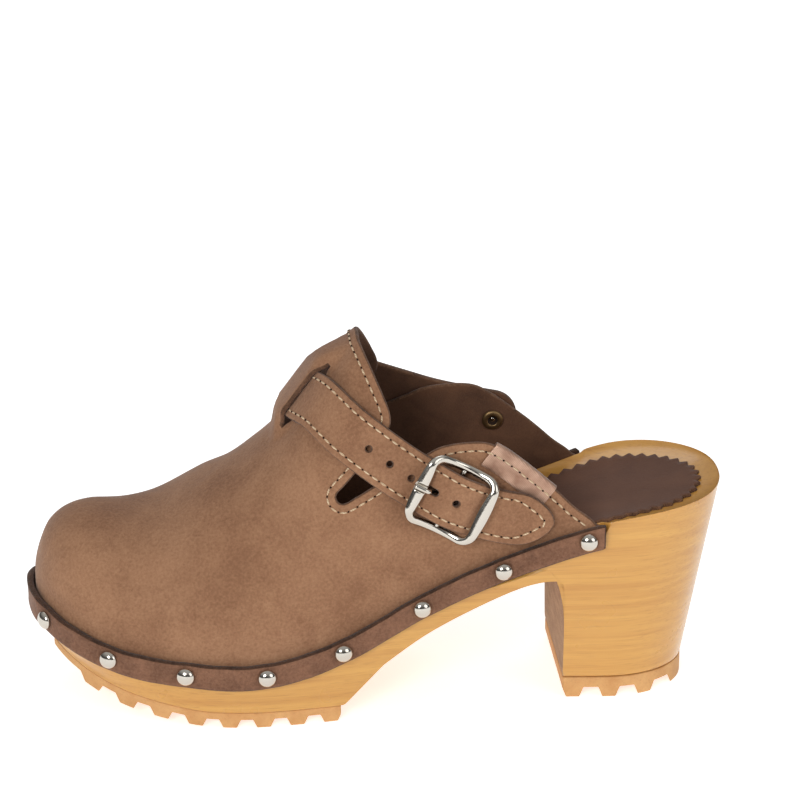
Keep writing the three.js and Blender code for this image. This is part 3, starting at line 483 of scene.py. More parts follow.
def hide_effect():
    """Brushed or cut leather: soft patches of tone, fibre specks, and a nap in relief."""
    tree, w, given, out = effect(
        "brushed_hide",
        [("Light", COLOUR, (1, 1, 1, 1)), ("Dark", COLOUR, (0, 0, 0, 1)), ("Patch scale", FLOAT, 60.0),
         ("Fibre scale", FLOAT, 1500.0), ("Nap depth", FLOAT, 0.5), ("Speck", FLOAT, 0.3)],
        [("Color", COLOUR), ("Roughness", FLOAT), ("Normal", VECTOR)],
    )
    at = w.place()
    patch = w.spread(w.noise(at, given["Patch scale"], 4.0, 0.55, 0.6), 0.3, 0.7)
    broad = w.spread(w.noise(at, 22.0, 2.0), 0.32, 0.68)
    fibre = w.noise(at, given["Fibre scale"], 3.0, 0.7)
    tone = w.math("MULTIPLY_ADD", broad, 0.45, w.math("MULTIPLY", patch, 0.55))
    speck = w.math("MULTIPLY_ADD", w.math("SUBTRACT", fibre, 0.5), given["Speck"], tone)
    colour = w.mix(speck, given["Dark"], given["Light"])
    rough = w.spread(patch, 0.0, 1.0, 0.82, 0.95)
    bump = w.add("ShaderNodeBump", Strength=given["Nap depth"], Distance=0.0006, Height=w.math(
        "MULTIPLY_ADD", fibre, 0.7, w.math("MULTIPLY", patch, 0.5)))
    for key, value in (("Color", colour), ("Roughness", rough), ("Normal", bump.outputs[0])):
        w.feed(out, key, value)
    return tree


def metal_effect():
    """Handled bright metal: faint smears in its gloss and hair-fine marks."""
    tree, w, given, out = effect(
        "handled_metal",
        [("Gloss", FLOAT, 0.15), ("Smear", FLOAT, 0.12), ("Mark depth", FLOAT, 0.05)],
        [("Roughness", FLOAT), ("Normal", VECTOR)],
    )
    at = w.place()
    smear = w.noise(at, 180.0, 4.0, 0.6, 1.0)
    w.feed(out, "Roughness", w.math("MULTIPLY_ADD", smear, given["Smear"], given["Gloss"]))
    marks = w.noise(at, 900.0, 3.0, 0.6)
    bump = w.add("ShaderNodeBump", Strength=given["Mark depth"], Distance=0.0003, Height=marks)
    w.feed(out, "Normal", bump.outputs[0])
    return tree


brushed_hide, handled_metal = hide_effect(), metal_effect()


def finish_named(name):
    material = bpy.data.materials.new(name)
    material.use_nodes = True
    return material, Wiring(material.node_tree), material.node_tree.nodes["Principled BSDF"]


def hide_finish(name, light, dark, patch=60.0, fibre=1500.0, nap=0.5, speck=0.3, sheen=0.15):
    material, w, skin = finish_named(name)
    effect_node = w.add("ShaderNodeGroup", {"node_tree": brushed_hide})
    for key, value in (("Light", linear(*light)), ("Dark", linear(*dark)), ("Patch scale", patch),
                       ("Fibre scale", fibre), ("Nap depth", nap), ("Speck", speck)):
        w.feed(effect_node, key, value)
    w.feed(skin, "Base Color", effect_node.outputs["Color"])
    w.feed(skin, "Roughness", effect_node.outputs["Roughness"])
    w.feed(skin, "Normal", effect_node.outputs["Normal"])
    w.feed(skin, "Sheen Weight", sheen)
    w.feed(skin, "Sheen Roughness", 0.5)
    w.feed(skin, "Specular IOR Level", 0.15)
    return material


def metal_finish(name, colour, gloss, smear, marks):
    material, w, skin = finish_named(name)
    effect_node = w.add("ShaderNodeGroup", {"node_tree": handled_metal})
    for key, value in (("Gloss", gloss), ("Smear", smear), ("Mark depth", marks)):
        w.feed(effect_node, key, value)
    w.feed(skin, "Base Color", linear(*colour))
    w.feed(skin, "Metallic", 1.0)
    w.feed(skin, "Roughness", effect_node.outputs["Roughness"])
    w.feed(skin, "Normal", effect_node.outputs["Normal"])
    return material


def wood_finish():
    """Lacquered pale hardwood with its grain along the clog; the heel's front face is bare."""
    material, w, skin = finish_named("lacquered_wood")
    at = w.place()
    along = w.add("ShaderNodeMapping", Vector=at, Scale=(6.0, 90.0, 420.0)).outputs[0]
    fine = w.add("ShaderNodeMapping", Vector=at, Scale=(45.0, 900.0, 2600.0)).outputs[0]
    bands = w.spread(w.noise(along, 1.0, 5.0, 0.62, 0.3), 0.32, 0.68)
    pores = w.noise(fine, 1.0, 2.0, 0.6)
    honey = w.mix(bands, linear(190, 133, 60), linear(208, 155, 75))
    honey = w.mix(w.spread(pores, 0.54, 0.7, 0.0, 0.35), honey, linear(152, 98, 42))
    honey = w.mix(w.spread(w.noise(at, 16.0, 2.0), 0.35, 0.65, 0.0, 0.2), honey, linear(214, 166, 90))
    bare = w.mix(bands, linear(148, 118, 92), linear(178, 148, 118))
    bare = w.mix(w.spread(pores, 0.5, 0.7, 0.0, 0.5), bare, linear(112, 86, 66))
    raw = w.add("ShaderNodeAttribute", {"attribute_name": "raw"}).outputs["Fac"]
    w.feed(skin, "Base Color", w.mix(raw, honey, bare))
    gloss = w.spread(w.noise(at, 70.0, 3.0), 0.3, 0.7, 0.26, 0.36)
    w.feed(skin, "Roughness", w.math("MULTIPLY_ADD", raw, 0.5, gloss))
    w.feed(skin, "Coat Weight", w.math("MULTIPLY_ADD", raw, -0.35, 0.35))
    w.feed(skin, "Coat Roughness", 0.12)
    bump = w.add("ShaderNodeBump", Strength=0.12, Distance=0.0004, Height=w.math(
        "MULTIPLY_ADD", pores, w.math("MULTIPLY_ADD", raw, 2.0, 0.6), bands))
    w.feed(skin, "Normal", bump.outputs[0])
    return material


def rubber_finish():
    """Caramel rubber, dull, with pale dust in its moulded texture."""
    material, w, skin = finish_named("tread_rubber")
    at = w.place()
    dust = w.noise(at, 95.0, 5.0, 0.65)
    grit = w.noise(at, 1400.0, 2.0)
    colour = w.mix(w.spread(dust, 0.35, 0.7), linear(196, 142, 84), linear(216, 168, 110))
    w.feed(skin, "Base Color", w.mix(w.spread(grit, 0.55, 0.75, 0.0, 0.3), colour, linear(168, 116, 64)))
    w.feed(skin, "Roughness", w.spread(dust, 0.3, 0.7, 0.55, 0.72))
    bump = w.add("ShaderNodeBump", Strength=0.25, Distance=0.0004, Height=grit)
    w.feed(skin, "Normal", bump.outputs[0])
    return material


def thread_finish():
    """Waxed cream thread, two strands twisted together."""
    material, w, skin = finish_named("cream_thread")
    at = w.place()
    slanted = {"bands_direction": "DIAGONAL"}
    waves = w.add("ShaderNodeTexWave", slanted, Vector=at, Scale=520.0, Distortion=1.0)
    twist = waves.outputs["Fac"]
    w.feed(skin, "Base Color", w.mix(twist, linear(186, 156, 120), linear(222, 198, 164)))
    w.feed(skin, "Roughness", w.spread(twist, 0.0, 1.0, 0.75, 0.55))
    w.feed(skin, "Sheen Weight", 0.2)
    w.feed(skin, "Normal", w.add("ShaderNodeBump", Strength=0.4, Distance=0.0002, Height=twist).outputs[0])
    return material


def ribbon_finish():
    """Rose-gold satin ribbon with fine cross threads."""
    material, w, skin = finish_named("satin_ribbon")
    at = w.place()
    slant = w.add("ShaderNodeMapping", Vector=at, Rotation=(0.0, math.radians(38), 0.0)).outputs[0]
    waves = w.add("ShaderNodeTexWave", {"bands_direction": "X"}, Vector=slant, Scale=560.0, Distortion=0.4)
    weft = waves.outputs["Fac"]
    shade = w.noise(at, 120.0, 3.0)
    colour = w.mix(w.spread(shade, 0.35, 0.65), linear(150, 110, 88), linear(208, 170, 146))
    w.feed(skin, "Base Color", w.mix(w.math("MULTIPLY", weft, 0.3), colour, linear(128, 92, 74)))
    w.feed(skin, "Roughness", w.spread(weft, 0.0, 1.0, 0.3, 0.42))
    w.feed(skin, "Metallic", 0.65)
    w.feed(skin, "Sheen Weight", 0.3)
    w.feed(skin, "Normal", w.add("ShaderNodeBump", Strength=0.3, Distance=0.0002, Height=weft).outputs[0])
    return material


nubuck = hide_finish("nubuck", (164, 123, 93), (130, 92, 67), fibre=950.0, speck=1.8)
cut_edge = hide_finish(
    "cut_edge", (132, 96, 72), (70, 48, 35), patch=300.0, fibre=1700.0, nap=0.9, speck=1.6,
)
flesh_side = hide_finish("flesh_side", (112, 78, 57), (80, 54, 39), patch=90.0, nap=0.7, speck=0.8)
rand_leather = hide_finish(
    "rand_leather", (136, 98, 76), (100, 69, 52), patch=140.0, fibre=950.0, nap=0.7, speck=1.8,
)
rand_edge = hide_finish(
    "rand_edge", (92, 64, 48), (46, 31, 23), patch=300.0, fibre=1700.0, nap=0.9, speck=1.6,
)
sock_leather = hide_finish(
    "sock_leather", (112, 78, 61), (88, 59, 46), patch=50.0, nap=0.35, speck=0.8, sheen=0.1,
)
nickel = metal_finish("nickel", (198, 192, 182), 0.08, 0.12, 0.05)
brass = metal_finish("rivet_brass", (138, 112, 78), 0.35, 0.2, 0.08)
lacquered_wood, tread_rubber = wood_finish(), rubber_finish()
cream_thread, satin_ribbon = thread_finish(), ribbon_finish()
# painted shade: a dark leather finish that stands for the shade inside needle holes and inside the strap
# washer's cup
painted_hole_shade = hide_finish("painted_hole_shade", (52, 36, 28), (30, 20, 15), sheen=0.0)


# ------------------------------------------------------------------ repeats: stitches and studs
def repeat_tree(name, inputs):
    tree = bpy.data.node_groups.new(name, "GeometryNodeTree")
    sockets = {}
    tree.interface.new_socket("Geometry", in_out="INPUT", socket_type="NodeSocketGeometry")
    for label, kind in inputs:
        sockets[label] = tree.interface.new_socket(label, in_out="INPUT", socket_type=kind).identifier
    tree.interface.new_socket("Geometry", in_out="OUTPUT", socket_type="NodeSocketGeometry")
    wiring = Wiring(tree)
    return tree, sockets, wiring, wiring.add("NodeGroupInput").outputs, wiring.add("NodeGroupOutput")


def lift_rotation(w, lean):
    """Rotation that stands an instance's Z on the stored lift, and its X along lean."""
    lift = w.add("GeometryNodeInputNamedAttribute", {"data_type": "FLOAT_VECTOR"}, Name="lift").outputs[0]
    stood = w.add("FunctionNodeAlignRotationToVector", {"axis": "Z"}, Vector=lift).outputs[0]
    turned = {"axis": "X", "pivot_axis": "Z"}
    return w.add("FunctionNodeAlignRotationToVector", turned, Rotation=stood, Vector=lean).outputs[0]


def closing_nodes(w, made, given, out):
    real = w.add("GeometryNodeRealizeInstances", Geometry=made).outputs[0]
    smoothed = w.add("GeometryNodeSetShadeSmooth", Geometry=real).outputs[0]
    finished = w.add("GeometryNodeSetMaterial", Geometry=smoothed, Material=given["Finish"])
    w.feed(out, "Geometry", finished.outputs[0])


def stitch_tree():
    tree, sockets, w, given, out = repeat_tree("stitch_line", [
        ("Pitch", FLOAT), ("Half length", FLOAT), ("Radius", FLOAT), ("Finish", "NodeSocketMaterial"),
    ])
    line = w.add("GeometryNodeMeshToCurve", Mesh=given["Geometry"]).outputs[0]
    spaced = w.add(
        "GeometryNodeResampleCurve", {"mode": "LENGTH"}, Curve=line, Length=given["Pitch"],
    ).outputs[0]
    along = w.add("GeometryNodeInputTangent").outputs[0]
    bead = w.add("GeometryNodeMeshUVSphere", Segments=8, Rings=6, Radius=1.0).outputs["Mesh"]
    size = w.add(
        "ShaderNodeCombineXYZ", X=given["Half length"], Y=given["Radius"], Z=given["Radius"],
    ).outputs[0]
    made = w.add("GeometryNodeInstanceOnPoints", Points=spaced, Instance=bead,
                 Rotation=lift_rotation(w, along), Scale=size).outputs[0]
    closing_nodes(w, made, given, out)
    return tree, sockets


def stud_tree():
    tree, sockets, w, given, out = repeat_tree("stud_row", [
        ("Stud", "NodeSocketObject"), ("Finish", "NodeSocketMaterial"),
    ])
    spots = w.add("GeometryNodeMeshToPoints", Mesh=given["Geometry"]).outputs[0]
    stud = w.add("GeometryNodeObjectInfo", Object=given["Stud"]).outputs["Geometry"]
    made = w.add("GeometryNodeInstanceOnPoints", Points=spots, Instance=stud,
                 Rotation=lift_rotation(w, (0.0, 0.0, 1.0))).outputs[0]
    closing_nodes(w, made, given, out)
    return tree, sockets


def grown(name, tree, sockets, points, lifts, edges, values):
    """Plain mesh that a tree of nodes grows from placed points with their lifts."""
    seed = bpy.data.meshes.new(name + "_seed")
    seed.from_pydata([tuple(p) for p in place(points)], edges, [])
    lift = seed.attributes.new("lift", "FLOAT_VECTOR", "POINT")
    lift.data.foreach_set("vector", np.asarray(lifts, np.float32).ravel())
    grower = bpy.data.objects.new(name + "_seed", seed)
    bpy.context.scene.collection.objects.link(grower)
    modifier = grower.modifiers.new("grow", "NODES")
    modifier.node_group = tree
    for label, value in values.items():
        modifier[sockets[label]] = value
    bpy.context.view_layer.update()
    shown = bpy.context.evaluated_depsgraph_get()
    mesh = bpy.data.meshes.new_from_object(grower.evaluated_get(shown), depsgraph=shown)
    bpy.data.objects.remove(grower)
    obj = bpy.data.objects.new(name, mesh)
    bpy.context.scene.collection.objects.link(obj)
    return obj


stitches, stitch_sockets = stitch_tree()


def seam(name, points, normals, slot):
    """Row of cream stitches along points, half sunk in the face that the normals leave, and dark dots between
    them: painted shade in the needle holes."""
    run = lengths(points)
    pitch = run[-1] / int(run[-1] / STITCH_PITCH)
    rows = ((name + "_stitching", 0.0, STITCH_LENGTH / 2, THREAD_R, cream_thread),
            # the second row is painted shade: dark dots where the needle holes are
            (name + "_needle_holes", pitch / 2, NEEDLE_HOLE_R, NEEDLE_HOLE_R, painted_hole_shade))
    for label, start, half_length, radius, finish in rows:
        at = np.linspace(start, run[-1] - start, 6 * len(points))
        spots, lifts = (
            np.stack([np.interp(at, run, table[:, k]) for k in range(3)], 1) for table in (points, normals)
        )
        chain = [(i, i + 1) for i in range(len(at) - 1)]
        row = grown(label, stitches, stitch_sockets, spots, unit(lifts), chain, {
            "Pitch": 0.998 * pitch * MM, "Half length": half_length * MM,
            "Radius": radius * MM, "Finish": finish,
        })
        kept(row, "clog", slot)


# ------------------------------------------------------------------ wooden base
def wall(x0, side, z, o=0.0):
    """Side of the base at outline station x0 and height z, with its tapers and the toe's undercut."""
    top = rim(x0) - RAND_WIDTH * (1 - smooth((x0 - RAND_END_X) / 15))
    down = 1 - np.clip((z - HEEL_BOTTOM_Z) / (top - HEEL_BOTTOM_Z), 0, 1)
    y = plan(x0, o)[side] * (1 - HEEL_SIDE_TAPER * down * smooth((x0 - 20) / 45))
    lean = HEEL_BACK_TAPER * down * np.clip((x0 - HEEL_BREAST_X) / (HEEL_X - HEEL_BREAST_X), 0, 1)
    below = np.clip((top - z) / (top - sole_under(x0)), 0, 1)
    under = TOE_UNDERCUT * below * np.clip((TOE_X + TOE_ROUND - x0) / TOE_ROUND, 0, 1)
    middle = spine(x0)
    return np.stack([x0 - lean + under, middle + (y - middle) * (1 - under / TOE_ROUND), z + 0 * x0], -1)


def footbed(x, f):
    """Height of the footbed at share f of its half width."""
    dish = DISH_DEPTH * (1 - np.abs(f) ** 4) * (1 - np.clip(np.abs(x) / HEEL_X, 0, 1) ** 10)
    return rim(x) - dish - SEAT_BEVEL * smooth((1 - np.abs(f)) / 0.05)


def eased_out(length, step, soft=30.0):
    """Distances from a rounded end, close together at the end and step apart after it."""
    t = np.arange(0, length + soft / 2, step)
    return np.where(t < soft, t * t / (2 * soft), t - soft / 2)


def base_stations():
    """Under edge of the base, toe to heel: outline station, height, station of the top edge, bare or not."""
    sole = TOE_X + eased_out(SOLE_FLAT_END_X - TOE_X, 2.6)
    sole = sole[sole < SOLE_FLAT_END_X - 2]
    undercut = TOE_UNDERCUT * np.clip((TOE_X + TOE_ROUND - sole) / TOE_ROUND, 0, 1)
    rows = [(x, z, 0) for x, z in zip(sole, sole_under(sole + undercut))]
    rows += [(x, z, 0) for x, z in [(-16.9, 6.5), (-16.1, 6.6), (-15.3, 7.2), (-11, 11.5), (-6, 16.5),
                                    (-1.7, 20.8), (-1, 21.4), (0, 22.1)]]
    arch = through([[-1, 21.5], [15, 32], [35, 42], [50, 48.3], [58, 50.2], [62.5, ARCH_END_Z]])
    rows += [(x, float(arch(x)), 0) for x in np.arange(2.5, 62, 2.6)]
    fillet_x, fillet_z = HEEL_BREAST_X - ARCH_FILLET, ARCH_END_Z - ARCH_FILLET
    rows += [
        (fillet_x + ARCH_FILLET * math.cos(a), fillet_z + ARCH_FILLET * math.sin(a), 0.5)
        for a in np.linspace(math.pi / 2, 0, 6)
    ]
    rows += [(HEEL_BREAST_X, z, 1) for z in np.arange(44, 10, -3)]
    rows += [(HEEL_BREAST_X, 9.3, 1), (HEEL_BREAST_X + 0.15, 8.5, 1), (HEEL_BREAST_X + 0.9, HEEL_BOTTOM_Z, 0)]
    heel = HEEL_X - eased_out(HEEL_X - HEEL_BREAST_X, 2.4)
    rows += [(x, HEEL_BOTTOM_Z, 0) for x in heel[heel > HEEL_BREAST_X + 2][::-1]]
    under = np.array(rows, float)
    run = lengths(under[:, :2])
    first = np.searchsorted(under[:, 0], 20)
    last = len(under) - np.sum(under[:, 0] > 95)
    top = under[:, 0].copy()
    fan = slice(first, last)
    top[fan] = np.interp(run[fan], [run[first], run[last]], [under[first, 0], under[last, 0]])
    return under[:, 0], under[:, 1], top, under[:, 2]


def wooden_base():
    under_x, under_z, top_x, bare = base_stations()
    edge = np.array([0, 0.02, 0.15, 0.3, 0.45, 0.6, 0.75, 0.9, 0.98])
    outward = np.array([0.22, 0.45, 0.65, 0.8, 0.9, 0.955, 0.985, 1])
    across = np.concatenate([-outward[::-1], [0], outward])
    rows, raw = [], []
    for bx, bz, tx, is_bare in zip(under_x, under_z, top_x, bare):
        inset = (LEATHER + GAP) * float(1 - smooth((tx - RAND_END_X - 0.4) / 0.8))
        shelf = rim(tx) - (RAND_WIDTH + GAP)
        if tx > RAND_END_X + 1.2:
            shelf = rim(tx) - 1.0
        near_toe = inset * float(np.clip(1 - (tx - TOE_X) / 40, 0, 1))
        sides = []
        for side in (0, 1):
            heights = bz + (shelf - bz) * edge
            full = max(rim(tx) - bz, 1e-6)
            column = [wall(bx + (tx - bx) * s, side, z) for s, z in zip((heights - bz) / full, heights)]
            column.append(wall(bx + (tx - bx) * (shelf - bz) / full, side, shelf))
            inner_x = tx + near_toe
            column += [wall(inner_x, side, z, -inset) for z in (shelf + 0.02, rim(tx) - 0.35)]
            sides.append([np.array(p, float).reshape(3) for p in column])
        y0, y1 = plan(tx + near_toe, -inset)
        seat = [
            np.array([tx + near_toe, (y0 + y1) / 2 + f * (y1 - y0) / 2, footbed(tx, f)]) for f in across
        ]
        low = [sides[1][0] + (sides[0][0] - sides[1][0]) * f for f in (0.015, 0.1, 0.3, 0.5, 0.7, 0.9, 0.985)]
        rows.append([*sides[0], *seat, *sides[1][::-1], *low])
        edge_only = [is_bare] + [0] * (len(sides[0]) - 1)
        raw.append([*edge_only, *[0] * len(seat), *edge_only[::-1], *[is_bare] * len(low)])
    columns = len(rows[0])
    points = np.array(rows).reshape(-1, 3)
    obj = piece("base_wood", points, skin_faces(len(rows), columns), [lacquered_wood])
    mesh = obj.data
    spots = place(points)
    values = np.array(raw, float).ravel()
    bare_spots = spots[values > 0.9]
    mask = mesh.attributes.new("raw", "FLOAT", "POINT")
    off = [np.min(np.sum((bare_spots - np.array(v.co)) ** 2, axis=1)) for v in mesh.vertices]
    flags = [1.0 if distance < 1e-10 else 0.0 for distance in off]
    mask.data.foreach_set("value", flags)
    rounder = obj.modifiers.new("rounder", "SUBSURF")
    rounder.levels = rounder.render_levels = 1
    return obj


kept(wooden_base(), "clog", "lacquered_wood", "wooden_base")


# ------------------------------------------------------------------ treads
def tread(name, stations, top, bottom, half_at, node):
    """Rubber tread: a side outline given by its top and bottom at each station, as wide as half_at says."""
    rows = []
    for x, high, low in zip(stations, top, bottom):
        y0, y1 = half_at(x, high)
        v0, v1 = half_at(x, low)
        lip = min(0.5, (high - low) / 3)
        rim_shares = (0.0, 0.012, 0.5, 0.988, 1.0)
        over = [np.array([x, y0 + (y1 - y0) * f, high]) for f in rim_shares]
        below = [np.array([x, v1 + (v0 - v1) * f, low]) for f in rim_shares]
        rows.append([*over, np.array([x, y1, high - lip]), np.array([x, v1, low + lip]),
                     *below, np.array([x, v0, low + lip]), np.array([x, y0, high - lip])])
    points = np.array(rows).reshape(-1, 3)
    obj = piece(name, points, skin_faces(len(rows), len(rows[0]), ends=True), [tread_rubber], levels=1)
    return kept(obj, "clog", "tread_rubber", node)


def lug_depth(x, centres):
    """How much of a lug hangs under the plate at x, from 0 to 1."""
    away = np.min(np.abs(np.asarray(x)[:, None] - centres[None, :]), axis=1)
    return np.clip((LUG_ROOT / 2 - away) / ((LUG_ROOT - LUG_TIP) / 2), 0, 1)


def lug_stations(first, last, centres, step):
    reaches = [s * r + d for s in (-1, 1) for r in (LUG_TIP / 2, LUG_ROOT / 2) for d in (-0.3, 0, 0.3)]
    corners = [c + reach for c in centres for reach in reaches]
    every = np.concatenate([np.arange(first, last, step), corners, [first, first + 0.3, last - 0.3, last]])
    every = np.unique(np.round(every[(every >= first) & (every <= last)], 3))
    return every[np.concatenate([[True], np.diff(every) > 0.12])]


def forefoot_tread():
    def half_at(x, z):
        station = x - float(wall(x, 0, z)[0] - x)
        sides = wall(max(station, TOE_X), 0, z), wall(max(station, TOE_X), 1, z)
        return sides[0][1] + TREAD_INSET, sides[1][1] - TREAD_INSET

    tip = TOE_X + TOE_UNDERCUT + 1.2
    centres = np.arange(SOLE_FLAT_END_X - 1 - LUG_ROOT / 2, TOE_X + 8, -LUG_PITCH)
    stations = lug_stations(tip, SOLE_FLAT_END_X - 1, centres, 1.8)
    stations = np.unique(np.concatenate([tip + np.array([0.0, 0.15, 0.5, 1.0]), stations]))
    top = sole_under(stations) - GAP
    lugs = SOLE_FLAT_Z - GAP - TREAD_PLATE
    bottom = top - TREAD_PLATE - lugs * lug_depth(stations, centres)
    tread("tread_forefoot", stations, top, np.maximum(bottom, 0), half_at, "forefoot_tread")


def heel_tread():
    back = float(wall(np.array(HEEL_X), 0, HEEL_BOTTOM_Z)[0])

    def half_at(x, _):
        share = (x - HEEL_BREAST_X) / (back - HEEL_BREAST_X)
        station = HEEL_BREAST_X + share * (HEEL_X - HEEL_BREAST_X)
        return wall(station, 0, HEEL_BOTTOM_Z)[1], wall(station, 1, HEEL_BOTTOM_Z)[1]

    centres = HEEL_BREAST_X + LUG_ROOT / 2 + HEEL_LUG_PITCH * np.arange(HEEL_LUG_COUNT)
    stations = lug_stations(HEEL_BREAST_X, back, centres, 1.6)
    end = back - eased_out(12, 0.9, 12)[1:10]
    stations = np.unique(np.round(np.concatenate([stations[stations < end.min()], end, [back]]), 3))
    top = np.full(len(stations), HEEL_BOTTOM_Z - GAP)
    plate = HEEL_BOTTOM_Z - GAP - HEEL_PLATE
    bottom = plate - plate * lug_depth(stations, centres)
    tread("tread_heel", stations, top, bottom, half_at, "heel_tread")


forefoot_tread()
heel_tread()


# ------------------------------------------------------------------ insole
def insole():
    def edge(x, side):
        half = (plan(min(x, HEEL_X - HEEL_ROUND))[1] - plan(min(x, HEEL_X - HEEL_ROUND))[0]) / 2 - PAD_MARGIN
        front = round_end((PAD_FRONT_X + 30 - x) / 30, 2.1)
        back = round_end((x - HEEL_X + PAD_MARGIN + 36) / 36, 2.2)
        return float(sum(plan(x)) / 2 + side * half * front * back)

    turn = np.linspace(0, math.pi, 240)
    stations = PAD_FRONT_X + (HEEL_X - PAD_MARGIN - PAD_FRONT_X) * (1 - np.cos(turn)) / 2
    loop = [(x, edge(x, -1)) for x in stations] + [(x, edge(x, 1)) for x in stations[1:-1][::-1]]
    round_trip = resampled(loop, 0.5, closed=True)
    run = lengths(np.vstack([round_trip, round_trip[:1]]))
    teeth = round(run[-1] / PINKING_PITCH)
    phase = (run[:-1] / run[-1] * teeth) % 1
    ahead = unit(np.roll(round_trip, -1, 0) - np.roll(round_trip, 1, 0))
    inward = np.stack([-ahead[:, 1], ahead[:, 0]], 1)
    outline = round_trip + inward * (PINKING_DEPTH * (1 - np.abs(2 * phase - 1)))[:, None]

    def laid(x, y):
        y0, y1 = plan(x)
        f = (y - (y0 + y1) / 2) / np.maximum((y1 - y0) / 2, 1)
        z = footbed(x, f) + 0.12 + PAD_THICK
        slope = (footbed(x + 0.5, f) - footbed(x - 0.5, f))
        tilt = (footbed(x, f + 0.01) - footbed(x, f - 0.01)) / (0.02 * np.maximum((y1 - y0) / 2, 1))
        return np.stack([x, y, z], 1), unit(np.stack([-slope, -tilt, np.ones_like(x)], 1))

    obj, _ = cut_sheet("insole_sock", outline, [], laid, PAD_THICK, 1.8, [sock_leather, cut_edge], bulge=0.2)
    kept(obj, "clog", "sock_leather", "insole_pad")


insole()

# ------------------------------------------------------------------ upper
WING_LINE = [
    (14, 101), (20, 104), (30, 105.5), (38, 105), (44.5, 101.6),
    (54, 94), (62, 87), (69, 80), (75, 75), (80, 71.5),
]
THROAT_LINE = [(-8, 139.2), (-6.4, 135.2), (-3.5, 129.5), (-1, 124), (1.6, 117), (1.6, 113), (-0.5, 109.5)]
VENT_LINE = [
    (-11, 97), (-15, 92.6), (-18.6, 88.6), (-18.2, 86), (-15.4, 84.8), (-11, 87), (-3, 91.5), (6, 97),
]
AROUND = 60.0      # flat pattern's height for each radian round the last
TOE_SOFT = 30.0


def pattern_of(x, a):
    d = np.maximum(np.asarray(x, float) - TOE_X, 0)
    along = np.where(d < TOE_SOFT / 2, np.sqrt(2 * TOE_SOFT * d), d + TOE_SOFT / 2)
    return np.stack([along, np.asarray(a) * AROUND + 0 * d], -1)


def station_of(t):
    return TOE_X + np.where(t < TOE_SOFT, t * t / (2 * TOE_SOFT), t - TOE_SOFT / 2)


def bridge_lift(x, dy):
    """How far the bridge stands off the last at x, at a distance dy from the spine."""
    beyond, ramp = 6, 9
    front, rear = smooth((x - SLIT_FRONT_X + beyond) / ramp), smooth((SLIT_REAR_X + beyond - x) / ramp)
    rise = BRIDGE_LIFT * np.minimum(front, rear)
    blend = smooth((BRIDGE_WIDTH / 2 + BRIDGE_SIDE / 2 - np.abs(dy)) / BRIDGE_SIDE)
    free = smooth((x - SLIT_FRONT_X) / 4) * smooth((SLIT_REAR_X - x) / 4)
    on_bridge = np.abs(dy) < BRIDGE_WIDTH / 2 + SLIT_GAP / 2
    return rise * np.where(on_bridge, blend + (1 - blend) * free, blend * (1 - free))


def upper_surface(t, w):
    x, a = station_of(np.asarray(t, float)), np.asarray(w, float) / AROUND
    p, n = face_point(x, a), face_normal(x, a)
    lift = bridge_lift(x, p[:, 1] - spine(x))
    above = smooth((p[:, 2] - rim(x)) / 12)
    slack = np.clip(patchy(p, 0.045, 3.0) + 0.35 * patchy(p, 0.12, 9.0), -0.2, 1.0)
    calm = np.where(p[:, 1] < spine(x), smooth((np.abs(x - 51) - 12) / 6), 1)
    crease = -0.75 * np.maximum(slack, 0) * above * calm
    toe_dimple = -0.5 * np.exp(-((p[:, 2] - rim(x) - 3) / 3) ** 2) * smooth((x - TOE_X) / 6)
    return p + n * (lift + np.where(lift > 0.3, 0, crease + toe_dimple))[:, None], n


def topline():
    """Cut edge of the upper in its flat pattern, from its outer rear end over the instep to its inner one."""
    side = [*THROAT_LINE, *VENT_LINE, *WING_LINE][::-1]
    outer = [(x, float(angle_at(x, z, -1))) for x, z in side]
    crown = [(-8.3, math.pi / 2 - 0.12), (-8.4, math.pi / 2), (-8.3, math.pi / 2 + 0.12)]
    inner = [(x, math.pi - a) for x, a in outer[::-1]]
    knots = np.array([pattern_of(x, a) for x, a in [*outer[:-1], *crown, *inner[1:]]])
    line = Rope(knots).at(np.linspace(0, 1, 2400))
    return resampled(line, 0.9)


def slit(side):
    """Slot for the strap, at one side of the bridge."""
    near, far = BRIDGE_WIDTH / 2, BRIDGE_WIDTH / 2 + SLIT_GAP
    xs = np.arange(SLIT_FRONT_X, SLIT_REAR_X + 0.1, 0.95)
    near_side = [pattern_of(x, float(angle_across(x, side * near))) for x in xs]
    far_side = [pattern_of(x, float(angle_across(x, side * far))) for x in xs[::-1]]
    return np.array([*near_side, *far_side])


def upper():
    top = topline()
    lap = RAND_WIDTH / LAP
    inner_end, outer_end = top[-1], top[0]
    rear = float(pattern_of(RAND_END_X, 0.0)[0])
    bottom_inner = np.array([rear, (math.pi + lap) * AROUND])
    bottom_outer = np.array([rear, -lap * AROUND])
    toe_inner, toe_outer = np.array([0.4, (math.pi + lap) * AROUND]), np.array([0.4, -lap * AROUND])
    corners = [inner_end, bottom_inner, toe_inner, toe_outer, bottom_outer, outer_end]
    sides = [resampled(np.array(pair), 1.3)[:-1] for pair in zip(corners, corners[1:])]
    outline = np.vstack([top[:-1], *sides])
    obj, borders = cut_sheet("upper_leather", outline, [slit(-1), slit(1)], upper_surface, LEATHER, 1.7,
                             [nubuck, cut_edge, flesh_side], bulge=0.55)
    kept(obj, "clog", "nubuck", "upper")
    p, n, out = borders[0]
    count = len(top) - 1
    run = p[:count] - out[:count] * SEAM_INSET + n[:count] * 0.06
    on_show = run[:, 2] > rim(run[:, 0]) + 1.5
    label_stretch = (run[:, 1] < 0) & (run[:, 0] > 38) & (run[:, 0] < 63)
    run = run + n[:count] * np.where(label_stretch, GAP + LABEL_THICK, 0)[:, None]
    seam("upper", run[on_show], n[:count][on_show], "nubuck")


upper()


